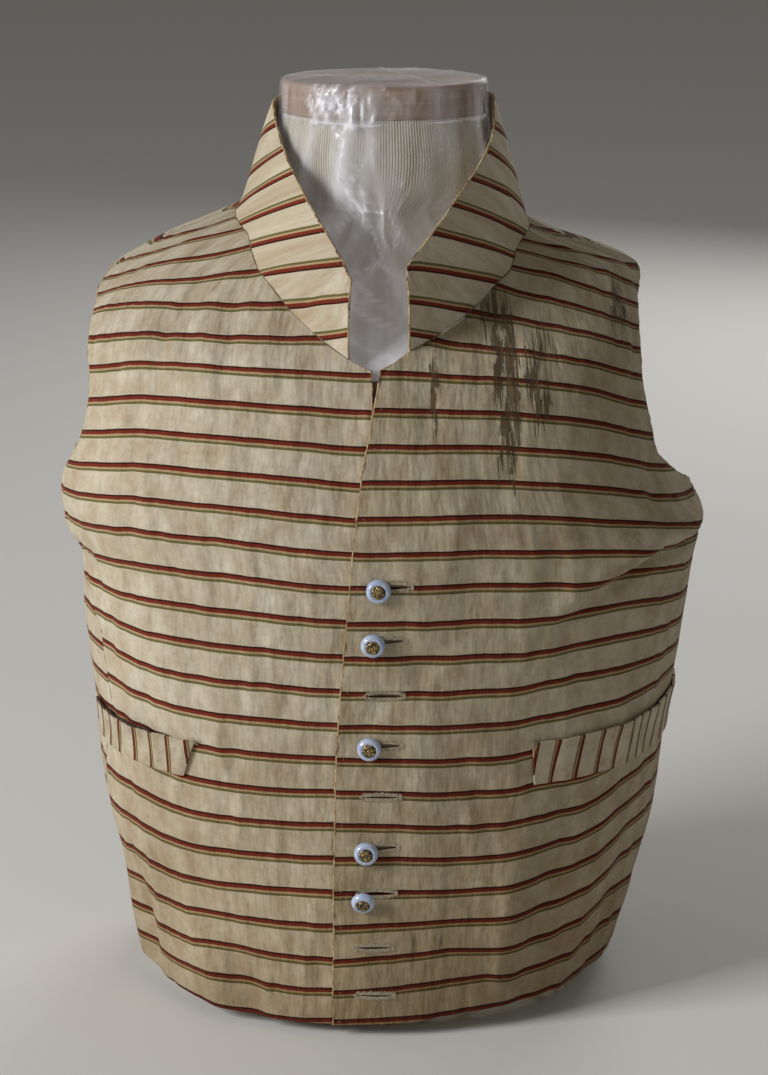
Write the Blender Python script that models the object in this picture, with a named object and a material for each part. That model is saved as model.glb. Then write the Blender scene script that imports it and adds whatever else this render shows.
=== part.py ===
"""A man's single-breasted waistcoat of striped cotton, on the limbless dress form that holds it.

Metres, +Z up. The garment faces -Y, the wearer's left is +X, and the origin is the middle of the
floor under the form. Every cut piece is a wall of cloth through points read from one body surface,
which is addressed by an angle round the body and a height, so that the pieces meet at their seams.
"""

import math

import bmesh
import bpy
import numpy as np

MM = 0.001

# Driving dimensions
CLOTH = 1.6 * MM
SEAM_GAP = 0.3 * MM
LAP_GAP = 0.9 * MM
LAP_COVER = 8 * MM
LAP_FADE = 40 * MM
WELT_GAP = 0.5 * MM
UNDERARM = 300 * MM
HEIGHT = 559 * MM
# Where the middle of the body surface lies, so that the whole stands centred over the origin
CENTRE = (1.6 * MM, 12.1 * MM, 0)
CAP_BAND = 19 * MM
BUTTON_WIDTH = 14.5 * MM
BUTTON_RISE = 5.2 * MM
BUTTON_RIM = 0.8 * MM
BUTTON_BACK_CHAMFER = 1 * MM
BUTTON_CLEARANCE = 0.7 * MM
BUTTON_TURNS = 16
SHANK_WIDTH = 1.6 * MM
SLIT_LENGTH = 20 * MM
OPEN_SLIT_HEIGHT = 3 * MM
SLACK_SLIT_HEIGHT = 1.5 * MM
SLIT_CUTTER_DEPTH = 16 * MM

# How many steps a panel's grid has between its corners
SIDE_STEPS = 20
ARMHOLE_STEPS = 6
NECK_END_STEPS = 1
NECK_STEPS = 8
FRONT_STEPS = 22
SHOULDER_STEPS = 6
BACK_NECK_STEPS = 10
COLLAR_STEPS = 4
# The higher this is, the nearer to its upper edge a panel's grid takes on that edge's spacing
HEAD_REACH = 4

# Cross sections of the body surface in mm: the half widths on the two sides, and the depths
BODY_COLUMNS = ("height", "right", "left", "front", "back")
BODY = (
    (0, 156, 143, 140, 108),
    (60, 165, 160, 136, 108),
    (125, 178, 174, 131, 101),
    (180, 182, 180, 130, 106),
    (233, 187, 188, 130, 112),
    (272, 188, 193, 131, 117),
    (292, 195, 197, 130, 118),
    (311, 200, 189, 129, 119),
    (333, 198, 179, 127, 119),
    (360, 193, 173, 122, 116),
    (385, 190, 168, 116.5, 110),
    (404, 189, 165, 110, 103),
    (415, 187, 163, 99, 98),
    (430, 180, 159, 77, 90),
    (448, 163, 153, 54, 80),
    (456, 150, 137, 45, 76),
    (466, 131, 107, 36, 70.5),
    (476, 106, 87, 27, 66),
    (486, 84, 72, 16, 62),
    (500, 70, 66, 10, 56),
)
SQUARENESS = 2.3

# Side seams, then armholes: the angle at which each front panel and the back end, in degrees
SIDE_SEAM_COLUMNS = ("height", "right", "left")
SIDE_SEAM = (
    (0, 84, 95),
    (100, 82, 95),
    (150, 72, 94),
    (190, 64, 94),
    (226, 65, 93),
    (246, 71, 92),
    (262, 80, 92),
    (300, 91, 91),
)
ARMHOLE_COLUMNS = ("height", "front_right", "front_left", "back")
ARMHOLE = (
    (300, 91, 91, 91),
    (308, 87, 83, 104),
    (322, 81, 74, 119),
    (346, 69, 66, 126),
    (378, 66, 66, 127),
    (408, 67, 67, 123),
    (430, 73, 73, 111),
    (448, 90, 90, 90),
)

# Front edges in mm: the x at each height. The left front laps over the right one.
FRONT_EDGE_COLUMNS = ("height", "right", "left")
FRONT_EDGE = (
    (6.5, 3, -30.4),
    (60, 4, -30),
    (150, 6, -28.6),
    (290, 14, -18.7),
    (345, 10, -12.5),
    (371.5, -5.5, -7.5),
    (404, -7.5, -2),
)

# Necklines in mm, from the end of the collar to the shoulder
NECKLINE_COLUMNS = ("x", "height")
NECKLINE_RIGHT = ((-21, 410), (-31, 415.5), (-52, 430), (-71.5, 448), (-82, 470), (-84, 486))
NECKLINE_LEFT = ((15.3, 413), (31.6, 420.5), (54.7, 434.5), (68.2, 446), (79, 462), (82, 478.5))
BACK_NECK_HEIGHT = 490

# Height of the hem above the floor, in mm, round the body
HEM_COLUMNS = ("angle", "height")
HEM = (
    (-270, 16),
    (-180, 9),
    (-100, 17),
    (-84, 24),
    (-62, 13),
    (-30, 7.5),
    (0, 6.5),
    (28, 7.5),
    (54, 14),
    (72, 15),
    (90, 16),
)

# The largest folds: where each one lies, the lean of its line from upright, and its size in mm.
# Depth is outwards, so that a trough is negative.
FOLD_COLUMNS = ("angle", "height", "lean", "length", "width", "depth")
FOLDS = (
    (72, 249, 66, 34, 7, 4.0),
    (73, 238, 66, 34, 7, -4.0),
    (86, 272, 80, 20, 8, 3.0),
    (78, 297, 50, 18, 6, -3.0),
    (60, 322, 20, 26, 9, -3.0),
    (-70, 268, -60, 26, 10, -3.0),
    (-82, 290, -70, 18, 8, 3.5),
    (33, 70, 4, 55, 9, -3.5),
    (24, 62, 2, 60, 10, 3.0),
    (46, 66, 8, 60, 11, 4.0),
    (59, 60, 10, 60, 11, -4.5),
    (70, 52, 12, 50, 9, 3.0),
    (-28, 22, -14, 26, 9, -3.5),
    (-38, 24, -8, 30, 10, 3.0),
    (-63, 46, -6, 36, 8, -4.0),
    (-71, 40, -4, 36, 8, 4.0),
    (-120, 60, 4, 55, 12, 4.0),
    (-150, 66, -3, 60, 12, -3.5),
    (-176, 72, 2, 60, 13, 4.0),
    (-205, 60, 4, 55, 13, -3.5),
    (-232, 66, -5, 55, 12, 4.0),
    (-140, 280, 60, 36, 11, -3.0),
    (-222, 276, -60, 36, 11, -3.0),
)
FOLD_RADIUS = 150 * MM

# The collar's upper edge in mm, by the step of its lower edge, from the right end to the left end
COLLAR_TOP_COLUMNS = ("step", "x", "y", "height")
COLLAR_TOP = (
    (0, -19, -106, 456),
    (1.4, -26, -97, 469),
    (3, -37, -82, 485),
    (5, -50, -58, 504),
    (6.7, -61, -31, 525),
    (8, -67, -5, 545),
    (10.5, -53, 37, 548),
    (13, 0, 55, 547),
    (15.5, 52, 37, 548),
    (18, 66, -4, 549),
    (19.3, 65, -30, 532),
    (21, 56, -55, 515),
    (22.5, 44, -77, 501),
    (24, 30, -95, 484),
    (26, 13.2, -107, 464),
)
COLLAR_BELLY = 1.5 * MM

# Buttons and buttonholes down the front in mm. A lean tips the button's face down, in degrees.
HOLE_COLUMNS = ("height", "x", "buttoned", "lean")
HOLES = (
    (279.4, -3.2, True, 0),
    (246.7, -6.4, True, 3),
    (214.4, -7.6, False, 0),
    (182.1, -8.7, True, 0),
    (151.5, -9.6, False, 0),
    (115.7, -10.6, True, 2),
    (83.3, -12.2, True, 8),
    (54, -12.8, False, 0),
    (27, -13.4, False, 0),
)
SLIT_START = -2 * MM

# Pocket welts in mm and degrees: each lies over one front, from its inner end to the side
WELT_COLUMNS = (
    "name", "top_angle", "foot_angle", "outer_angle",
    "inner_foot", "outer_foot", "inner_top", "outer_top", "gape",
)
WELTS = (
    ("welt_right", -35, -38.5, -75.5, 155.5, 161, 179, 183, 2.4),
    ("welt_left", 26, 27, 86, 154.5, 164, 181, 192, 1.2),
)
WELT_STEPS = 14
WELT_ROWS = 4

# Cross sections of the dress form in mm, clear of the cloth. Its shoulders, which carry the cloth,
# are the body surface's own shoulder line, lowered.
FORM_COLUMNS = ("height", "right", "left", "front", "back", "squareness")
FORM = (
    (0, 143, 134, 124, 96, 2.2),
    (60, 151, 147, 124, 96, 2.2),
    (125, 163, 159, 121, 90, 2.2),
    (180, 168, 166, 120, 95, 2.2),
    (233, 173, 174, 120, 101, 2.2),
    (272, 174, 176, 120, 106, 2.2),
    (311, 172, 168, 118, 108, 2.2),
    (345, 163, 150, 114, 107, 2.2),
    (385, 159, 143, 105, 99, 2.2),
    (404, 158, 142, 98, 93, 2.2),
    (415, 158, 142, 88, 89, 2.2),
    (430, 158, 143.5, 70, 83, 2.1),
    (448, 158, 148, 55, 74, 1.65),
    (466, 131, 107, 53, 64, 1.25),
    (484, 90, 77, 52, 54, 1.25),
    (500, 66.5, 65, 51.5, 51.5, 1.8),
    (520, 63.5, 63.5, 51, 51, 2),
    (539.7, 61, 61, 49.5, 49.5, 2),
)
SHOULDER_DROP = 2.5 * MM
FORM_TURNS = 40
FORM_CLOSE_RINGS = 400
CAP_WIDTH = 122 * MM
CAP_DEPTH = 100 * MM
CAP_ROUND = 2.5 * MM
CAP_TURNS = 40


def clear_scene():
    for thing in list(bpy.data.objects):
        bpy.data.objects.remove(thing, do_unlink=True)


def column(columns, table, name):
    """One named column of a table, as an array."""
    place = columns.index(name)
    return np.array([row[place] for row in table], float)


def smooth_read(places, values, place):
    """Reads a smooth curve through the points (places, values). It never overshoots them."""
    step = np.diff(places)
    slope = np.diff(values) / step
    tangent = np.zeros(len(values))
    tangent[0], tangent[-1] = slope[0], slope[-1]
    same_way = slope[1:] * slope[:-1] > 0
    steepest = np.where(same_way, slope[1:] + slope[:-1], 1)
    tangent[1:-1] = np.where(same_way, 2 * slope[1:] * slope[:-1] / steepest, 0)
    place = np.clip(place, places[0], places[-1])
    left = np.clip(np.searchsorted(places, place) - 1, 0, len(step) - 1)
    t = (place - places[left]) / step[left]
    start, end = values[left], values[left + 1]
    pull_start, pull_end = tangent[left] * step[left], tangent[left + 1] * step[left]
    return (
        start * (1 + 2 * t) * (1 - t) ** 2
        + end * t * t * (3 - 2 * t)
        + pull_start * t * (1 - t) ** 2
        - pull_end * t * t * (1 - t)
    )


def table_read(columns, table, name, place):
    """A column of lengths or angles at a place along the table's first column."""
    return smooth_read(column(columns, table, columns[0]), column(columns, table, name), place)


def body_size(name, height):
    return table_read(BODY_COLUMNS, BODY, name, height / MM) * MM


def body_point(angle, height):
    """Points of the plain body surface. The angle is in degrees from the middle of the front."""
    turn = np.radians(angle)
    across, ahead = np.sin(turn), np.cos(turn)
    half = np.where(across < 0, body_size("right", height), body_size("left", height))
    depth = np.where(ahead > 0, body_size("front", height), body_size("back", height))
    power = 2 / SQUARENESS
    x = half * np.sign(across) * np.abs(across) ** power
    y = -depth * np.sign(ahead) * np.abs(ahead) ** power
    return np.stack([x, y, height + 0 * x], axis=-1)


def body_normal(angle, height):
    """Outward directions of the plain body surface, from points a little way off."""
    turn, rise = 1.0, 1.5 * MM
    round_body = body_point(angle + turn, height) - body_point(angle - turn, height)
    upwards = body_point(angle, height + rise) - body_point(angle, height - rise)
    normal = np.cross(round_body, upwards)
    return normal / np.linalg.norm(normal, axis=-1, keepdims=True)


def angle_at(x, height):
    """The angle of the front surface's point that has this x at this height."""
    half = np.where(x < 0, body_size("right", height), body_size("left", height))
    share = np.clip(np.abs(x) / half, 0, 1)
    return np.sign(x) * np.degrees(np.arcsin(share ** (SQUARENESS / 2)))


def fold_depth(angle, height):
    """How far the folds move the cloth outwards at these places."""
    total = np.zeros(np.shape(angle))
    for row in FOLDS:
        fold = dict(zip(FOLD_COLUMNS, row))
        lean = math.radians(fold["lean"])
        beside = np.radians(angle - fold["angle"]) * FOLD_RADIUS / MM
        above = height / MM - fold["height"]
        along = above * math.cos(lean) + beside * math.sin(lean)
        across = beside * math.cos(lean) - above * math.sin(lean)
        total += fold["depth"] * np.exp(
            -((along / fold["length"]) ** 2) - (across / fold["width"]) ** 2
        )
    return total * MM


def lap_lift(angle, height):
    """How far the left front stands off the body surface to clear the right front under it."""
    under_edge = table_read(FRONT_EDGE_COLUMNS, FRONT_EDGE, "right", height / MM) * MM
    reach = (body_point(angle, height)[..., 0] - under_edge - LAP_COVER) / LAP_FADE
    fade = 1 - np.clip(reach, 0, 1)
    return (CLOTH + LAP_GAP) * fade * fade * (3 - 2 * fade)


def along_line(points, steps):
    """Evenly spaced points along a smooth curve through the given (angle, height) points."""
    points = np.array(points, float)
    spans = np.diff(points, axis=0) * (FOLD_RADIUS * math.pi / 180, 1)
    travelled = np.concatenate([[0], np.cumsum(np.hypot(spans[:, 0], spans[:, 1]))])
    places = np.linspace(0, travelled[-1], steps + 1)
    return np.stack([smooth_read(travelled, points[:, k], places) for k in range(2)], axis=-1)


def straight(start, end, steps):
    return np.linspace(np.array(start, float), np.array(end, float), steps + 1)


def joined(*lines):
    """Lines end to end, with each shared point kept once."""
    return np.concatenate([lines[0]] + [line[1:] for line in lines[1:]])


def hem_height(angle):
    return table_read(HEM_COLUMNS, HEM, "height", angle) * MM


def front_edge(side):
    """The front's edge from the hem to the neck, as (angle, height) points."""
    foot, corner = FRONT_EDGE[0][0] * MM, FRONT_EDGE[-1][0] * MM
    lower = np.linspace(foot, UNDERARM, SIDE_STEPS + 1)
    upper = np.linspace(UNDERARM, corner, ARMHOLE_STEPS + 1)
    heights = np.concatenate([lower, upper[1:]])
    x = table_read(FRONT_EDGE_COLUMNS, FRONT_EDGE, side, heights / MM) * MM
    return np.stack([angle_at(x, heights), heights], axis=-1)


def neckline(side):
    """The front's neckline from its top corner to the shoulder, as (angle, height) points."""
    table = NECKLINE_RIGHT if side == "right" else NECKLINE_LEFT
    x = column(NECKLINE_COLUMNS, table, "x") * MM
    heights = column(NECKLINE_COLUMNS, table, "height") * MM
    angles = angle_at(x, heights)
    angles[-1] = 90 * np.sign(x[-1])
    corner = front_edge(side)[-1]
    curve = along_line(np.stack([angles, heights], axis=-1), NECK_STEPS)
    return joined(straight(corner, curve[0], NECK_END_STEPS), curve)


def side_and_armhole(side, panel):
    """The outer edge of a panel: the side seam, then the armhole up to the shoulder point."""
    sign = -1 if side == "right" else 1
    corner = table_read(SIDE_SEAM_COLUMNS, SIDE_SEAM, side, 0) * sign
    heights = np.linspace(hem_height(corner), UNDERARM, SIDE_STEPS + 1)
    angles = table_read(SIDE_SEAM_COLUMNS, SIDE_SEAM, side, heights / MM) * sign
    seam = np.stack([angles, heights], axis=-1)
    angles = column(ARMHOLE_COLUMNS, ARMHOLE, panel) * sign
    heights = column(ARMHOLE_COLUMNS, ARMHOLE, "height") * MM
    angles[0] = seam[-1][0]
    steps = ARMHOLE_STEPS + NECK_END_STEPS + NECK_STEPS
    return joined(seam, along_line(np.stack([angles, heights], axis=-1), steps))


def neck_point(side):
    return neckline(side)[-1]


def patch(inner, outer, foot, head):
    """A grid of places between four edges that share their corners: rows go from foot to head."""
    rise = np.linspace(0, 1, len(inner))[:, None, None]
    run = np.linspace(0, 1, len(foot))[None, :, None]
    between_sides = (1 - run) * inner[:, None] + run * outer[:, None]
    foot_bend = foot - ((1 - run) * foot[0] + run * foot[-1])
    head_bend = head - ((1 - run) * head[0] + run * head[-1])
    return between_sides + (1 - rise) * foot_bend + rise**HEAD_REACH * head_bend


def front_places(side):
    """The (angle, height) of each grid point of one front, in rows from the hem to the shoulder."""
    inner = joined(front_edge(side), neckline(side))
    outer = side_and_armhole(side, f"front_{side}")
    foot = straight(inner[0], outer[0], FRONT_STEPS)
    foot[1:-1, 1] = hem_height(foot[1:-1, 0])
    return patch(inner, outer, foot, straight(inner[-1], outer[-1], FRONT_STEPS))


def back_places():
    """The same for the back, whose columns go from the right side round to the left side."""
    full_turn = np.array([360, 0])
    first = side_and_armhole("right", "back")
    last = side_and_armhole("left", "back") - full_turn
    steps = 2 * SHOULDER_STEPS + BACK_NECK_STEPS
    foot = straight(first[0], last[0], steps)
    foot[1:-1, 1] = hem_height(foot[1:-1, 0])
    middle = (-180, BACK_NECK_HEIGHT * MM)
    right_neck, left_neck = neck_point("right"), neck_point("left") - full_turn
    head = joined(
        straight(first[-1], right_neck, SHOULDER_STEPS),
        along_line([right_neck, middle], BACK_NECK_STEPS // 2),
        along_line([middle, left_neck], BACK_NECK_STEPS // 2),
        straight(left_neck, last[-1], SHOULDER_STEPS),
    )
    return patch(first, last, foot, head)


def cloth_faces(places, lift):
    """The outer and the inner face of a cut piece, as grids of points."""
    angle, height = places[..., 0], places[..., 1]
    normal = body_normal(angle, height)
    outwards = fold_depth(angle, height) + lift(angle, height)
    outer = body_point(angle, height) + normal * outwards[..., None]
    return outer, outer - normal * CLOTH


def no_lift(angle, height):
    return np.zeros(np.shape(angle))


def trim(faces, *edges):
    """Takes half a seam's gap off the named edges of a piece's two faces."""
    for grid in faces:
        turned = grid.transpose(1, 0, 2)
        for edge in edges:
            lines, end, inside = {
                "first_column": (turned, 0, 1),
                "last_column": (turned, -1, -2),
                "head": (grid, -1, -2),
            }[edge]
            inwards = lines[inside] - lines[end]
            inwards /= np.linalg.norm(inwards, axis=-1, keepdims=True)
            lines[end] += inwards * SEAM_GAP / 2
    return faces


def material(name, colour, roughness, metallic=0.0):
    made = bpy.data.materials.new(name)
    made.use_nodes = True
    shader = made.node_tree.nodes["Principled BSDF"]
    shader.inputs["Base Color"].default_value = (*colour, 1)
    shader.inputs["Roughness"].default_value = roughness
    shader.inputs["Metallic"].default_value = metallic
    made.diffuse_color = (*colour, 1)
    return made


def add_object(name, shape, finish):
    """Turns a bmesh into a named, smooth-shaded object with its faces pointing out."""
    bmesh.ops.recalc_face_normals(shape, faces=shape.faces)
    mesh = bpy.data.meshes.new(name)
    shape.to_mesh(mesh)
    shape.free()
    mesh.materials.append(finish)
    mesh.shade_smooth()
    mesh.set_sharp_from_angle(angle=math.radians(40))
    made = bpy.data.objects.new(name, mesh)
    bpy.context.scene.collection.objects.link(made)
    return made


def wall(name, faces, finish):
    """A closed sheet of cloth between an outer and an inner grid of points."""
    rows, columns = faces[0].shape[:2]
    shape = bmesh.new()
    outer, inner = (
        [[shape.verts.new(point) for point in line] for line in grid] for grid in faces
    )
    for r in range(rows - 1):
        for c in range(columns - 1):
            for grid in (outer, inner):
                shape.faces.new((grid[r][c], grid[r][c + 1], grid[r + 1][c + 1], grid[r + 1][c]))
    rim = [(0, c) for c in range(columns)]
    rim += [(r, columns - 1) for r in range(1, rows)]
    rim += [(rows - 1, c) for c in range(columns - 2, -1, -1)]
    rim += [(r, 0) for r in range(rows - 2, 0, -1)]
    for (r, c), (nr, nc) in zip(rim, rim[1:] + rim[:1]):
        shape.faces.new((outer[r][c], outer[nr][nc], inner[nr][nc], inner[r][c]))
    bmesh.ops.triangulate(shape, faces=shape.faces)
    return add_object(name, shape, finish)


def stacked_rings(name, rings, finish):
    """A closed solid through rings of equal length, with a flat foot and a flat head."""
    shape = bmesh.new()
    made = [[shape.verts.new(point) for point in ring] for ring in rings]
    for lower, upper in zip(made, made[1:]):
        for k, corner in enumerate(lower):
            shape.faces.new((lower[k - 1], corner, upper[k], upper[k - 1]))
    shape.faces.new(made[0])
    shape.faces.new(made[-1])
    bmesh.ops.triangulate(shape, faces=shape.faces)
    return add_object(name, shape, finish)


def oval(height, right, left, front, back, squareness, turns):
    """A ring of points, evenly turned, with its own half width or depth on each side."""
    turn = np.linspace(0, 2 * math.pi, turns, endpoint=False)
    across, ahead = np.sin(turn), np.cos(turn)
    x = np.where(across < 0, right, left) * np.sign(across) * np.abs(across) ** (2 / squareness)
    y = -np.where(ahead > 0, front, back) * np.sign(ahead) * np.abs(ahead) ** (2 / squareness)
    return np.stack([x, y, np.full(turns, height)], axis=-1)


def add_form(finish):
    heights = column(FORM_COLUMNS, FORM, "height")
    rings = []
    between = [height for height in (heights[1:] + heights[:-1]) / 2 if height > FORM_CLOSE_RINGS]
    for height in sorted([*heights, *between]):
        sizes = {name: table_read(FORM_COLUMNS, FORM, name, height) for name in FORM_COLUMNS[1:]}
        for side in ("right", "left"):
            shoulder = body_size(side, height * MM + SHOULDER_DROP) / MM
            sizes[side] = min(sizes[side], shoulder)
        squareness = sizes.pop("squareness")
        rings.append(oval(height * MM, *(size * MM for size in sizes.values()), squareness, FORM_TURNS))
    return stacked_rings("form_torso", rings, finish)


def add_cap(finish):
    foot = HEIGHT - CAP_BAND
    half, depth = CAP_WIDTH / 2, CAP_DEPTH / 2
    outline = [(foot, 0.4 * MM)]
    outline += [(foot + 0.4 * MM, 0), (HEIGHT - CAP_ROUND, 0)]
    for share in (1 / 3, 2 / 3, 1):
        turn = share * math.pi / 2
        outline.append((HEIGHT - CAP_ROUND * (1 - math.sin(turn)), CAP_ROUND * (1 - math.cos(turn))))
    rings = [
        oval(height, half - inset, half - inset, depth - inset, depth - inset, 2, CAP_TURNS)
        for height, inset in outline
    ]
    return stacked_rings("form_cap", rings, finish)


def add_fronts(finish):
    """The two fronts. The returned outer faces are where the collar starts."""
    right = cloth_faces(front_places("right"), no_lift)
    left = cloth_faces(front_places("left"), lap_lift)
    edges = {"right": right[0].copy(), "left": left[0].copy()}
    wall("front_right", trim(right, "last_column", "head"), finish)
    front_left = wall("front_left", trim(left, "last_column", "head"), finish)
    return front_left, edges


def add_back(finish):
    faces = cloth_faces(back_places(), no_lift)
    edge = faces[0].copy()
    wall("back", trim(faces, "first_column", "last_column", "head"), finish)
    return edge


def neck_edge(line, inside):
    """Points just off an edge of a piece, a seam's gap away from it in its own plane."""
    outwards = line - inside
    outwards /= np.linalg.norm(outwards, axis=-1, keepdims=True)
    return line + outwards * SEAM_GAP


def add_collar(fronts, back, finish):
    """The standing collar: a band that rises from the neckline, open in front."""
    first = SIDE_STEPS + ARMHOLE_STEPS + NECK_END_STEPS
    right, left = (
        neck_edge(grid[first:, 0], grid[first:, 1])
        for grid in (fronts["right"], fronts["left"])
    )
    neck = slice(SHOULDER_STEPS, SHOULDER_STEPS + BACK_NECK_STEPS + 1)
    behind = neck_edge(back[-1, neck], back[-2, neck])
    foot = np.concatenate([right[:-1], behind, left[-2::-1]])
    steps = np.arange(len(foot))
    head = np.stack(
        [
            table_read(COLLAR_TOP_COLUMNS, COLLAR_TOP, name, steps) * MM
            for name in COLLAR_TOP_COLUMNS[1:]
        ],
        axis=-1,
    )
    rise = np.linspace(0, 1, COLLAR_STEPS + 1)[:, None, None]
    outer = (1 - rise) * foot + rise * head
    normal = np.cross(np.gradient(outer, axis=0), np.gradient(outer, axis=1))
    normal /= np.linalg.norm(normal, axis=-1, keepdims=True)
    outer += normal * COLLAR_BELLY * 4 * rise * (1 - rise)
    return wall("collar", (outer, outer - normal * CLOTH), finish)


def front_point(x, height):
    """The point and the outward direction of the right front's face under a button."""
    angle, height = np.array(angle_at(x, height)), np.array(height)
    normal = body_normal(angle, height)
    return body_point(angle, height) + normal * fold_depth(angle, height), normal


def cut_buttonholes(front):
    """Cuts a slit for every buttonhole through the left front only."""
    shape = bmesh.new()
    for row in HOLES:
        hole = dict(zip(HOLE_COLUMNS, row))
        height, x = hole["height"] * MM, hole["x"] * MM
        middle = x + SLIT_START + SLIT_LENGTH / 2
        point, _ = front_point(middle, height)
        made = bmesh.ops.create_cube(shape, size=1)["verts"]
        slit = OPEN_SLIT_HEIGHT if hole["buttoned"] else SLACK_SLIT_HEIGHT
        bmesh.ops.scale(shape, vec=(SLIT_LENGTH, SLIT_CUTTER_DEPTH, slit), verts=made)
        bmesh.ops.translate(shape, vec=point, verts=made)
    cutter = add_object("buttonhole_cutters", shape, front.data.materials[0])
    cutter.hide_render = True
    cutter.display_type = "WIRE"
    cut = front.modifiers.new("buttonholes", "BOOLEAN")
    cut.operation = "DIFFERENCE"
    cut.solver = "EXACT"
    cut.object = cutter


def button_outline(lean):
    """Half the button's section, as (radius, height above the cloth under it)."""
    shank, edge = SHANK_WIDTH / 2, BUTTON_WIDTH / 2
    seat = CLOTH + LAP_GAP + BUTTON_CLEARANCE + edge * math.sin(lean)
    outline = [(0, SEAM_GAP), (shank, SEAM_GAP), (shank, seat), (edge - BUTTON_BACK_CHAMFER, seat)]
    for share in (0, 0.25, 0.5, 0.75, 1):
        turn = share * math.pi / 2
        rise = BUTTON_RIM + (BUTTON_RISE - BUTTON_RIM) * math.sin(turn)
        outline.append((edge * math.cos(turn), seat + rise))
    return outline


def add_button(number, row, finish):
    """A domed glass button with its shank through the slit, sewn to the right front."""
    hole = dict(zip(HOLE_COLUMNS, row))
    point, normal = front_point(hole["x"] * MM, hole["height"] * MM)
    lean = math.radians(hole["lean"])
    shape = bmesh.new()
    outline = [shape.verts.new((radius, 0, rise)) for radius, rise in button_outline(lean)]
    edges = [shape.edges.new(pair) for pair in zip(outline, outline[1:])]
    bmesh.ops.spin(
        shape, geom=outline + edges, axis=(0, 0, 1), cent=(0, 0, 0), angle=2 * math.pi,
        steps=BUTTON_TURNS, use_merge=True,
    )
    bmesh.ops.remove_doubles(shape, verts=shape.verts, dist=0.01 * MM)
    made = add_object(f"button_{number}", shape, finish)
    made.location = point
    pitch = math.atan2(-normal[1], normal[2]) + lean
    yaw = math.atan2(normal[0], -normal[1])
    made.rotation_euler = (pitch, 0, yaw)


def add_welt(row, finish):
    """A pocket welt: a band laid over its front, whose upper edge stands off a little."""
    welt = dict(zip(WELT_COLUMNS, row))
    across = np.linspace(0, 1, WELT_STEPS + 1)[None, :]
    up = np.linspace(0, 1, WELT_ROWS + 1)[:, None]
    inner = welt["foot_angle"] + (welt["top_angle"] - welt["foot_angle"]) * up
    angle = inner + (welt["outer_angle"] - inner) * across
    foot = welt["inner_foot"] + (welt["outer_foot"] - welt["inner_foot"]) * across**2
    top = welt["inner_top"] + (welt["outer_top"] - welt["inner_top"]) * across**2
    height = (foot + (top - foot) * up) * MM
    normal = body_normal(angle, height)
    gape = welt["gape"] * MM * up**2 * np.sin(math.pi * across) ** 0.5
    outwards = fold_depth(angle, height) + WELT_GAP + CLOTH + gape
    outer = body_point(angle, height) + normal * outwards[..., None]
    return wall(welt["name"], (outer, outer - normal * CLOTH), finish)


def main():
    clear_scene()
    centre = bpy.data.objects.new("centre", None)
    centre.location = CENTRE
    bpy.context.scene.collection.objects.link(centre)
    cotton = material("striped_cotton", (0.52, 0.44, 0.31), 0.85)
    knit = material("ribbed_cotton", (0.50, 0.42, 0.30), 0.9)
    wood = material("limed_wood", (0.40, 0.24, 0.15), 0.55)
    glass = material("milky_glass", (0.56, 0.60, 0.70), 0.12)
    add_form(knit)
    add_cap(wood)
    front_left, fronts = add_fronts(cotton)
    back = add_back(cotton)
    add_collar(fronts, back, cotton)
    cut_buttonholes(front_left)
    for row in WELTS:
        add_welt(row, cotton)
    buttoned = [row for row in HOLES if row[HOLE_COLUMNS.index("buttoned")]]
    for number, row in enumerate(buttoned, start=1):
        add_button(number, row, glass)
    for piece in bpy.data.objects:
        if piece is not centre:
            piece.parent = centre


main()
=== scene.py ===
import math

import bmesh
import bpy
import numpy as np
from mathutils import Matrix


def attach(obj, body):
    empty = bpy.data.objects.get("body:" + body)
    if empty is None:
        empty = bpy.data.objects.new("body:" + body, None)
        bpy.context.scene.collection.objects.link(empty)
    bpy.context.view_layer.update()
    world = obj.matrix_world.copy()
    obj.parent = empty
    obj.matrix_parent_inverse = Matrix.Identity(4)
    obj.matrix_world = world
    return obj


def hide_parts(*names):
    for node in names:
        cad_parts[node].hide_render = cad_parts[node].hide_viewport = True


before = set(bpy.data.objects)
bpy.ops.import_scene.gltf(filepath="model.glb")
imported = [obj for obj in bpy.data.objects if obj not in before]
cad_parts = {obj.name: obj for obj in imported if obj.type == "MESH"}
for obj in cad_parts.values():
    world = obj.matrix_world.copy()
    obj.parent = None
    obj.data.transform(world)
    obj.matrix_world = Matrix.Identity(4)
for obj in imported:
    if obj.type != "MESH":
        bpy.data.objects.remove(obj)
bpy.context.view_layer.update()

MM = 0.001


# Floor, light and camera.
# A pale matt floor carries on out of the picture as its own backdrop. One soft lamp stands in front
# on the garment's right, a weak one fills in from its left, and a third one stands behind.
FLOOR_WIDTH = 60
FLOOR_COLOUR = (0.74, 0.73, 0.70, 1)
# Where the camera stands over the floor, how far it looks down, and its lens in mm for a frame
# that is 36 mm tall
CAMERA_PLACE = (0.0016, -1.6079, 0.738)
CAMERA_DOWN = math.radians(16)
CAMERA_LENS = 90.08
FRAME_HEIGHT = 36
# Each lamp's name, place, width and power, and the point that it faces
LAMPS = (
    ("key_lamp", (-2.3, -1.05, 1.4), 1.0, 62),
    ("fill_lamp", (1.6, -1.9, 1.1), 1.5, 2.5),
    ("back_lamp", (0.9, 2.1, 1.3), 1.4, 17),
)
LAMP_AIM = (0, 0, 0.28)
SKY_COLOUR = (0.90, 0.88, 0.83, 1)
SKY_STRENGTH = 0.16

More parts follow.
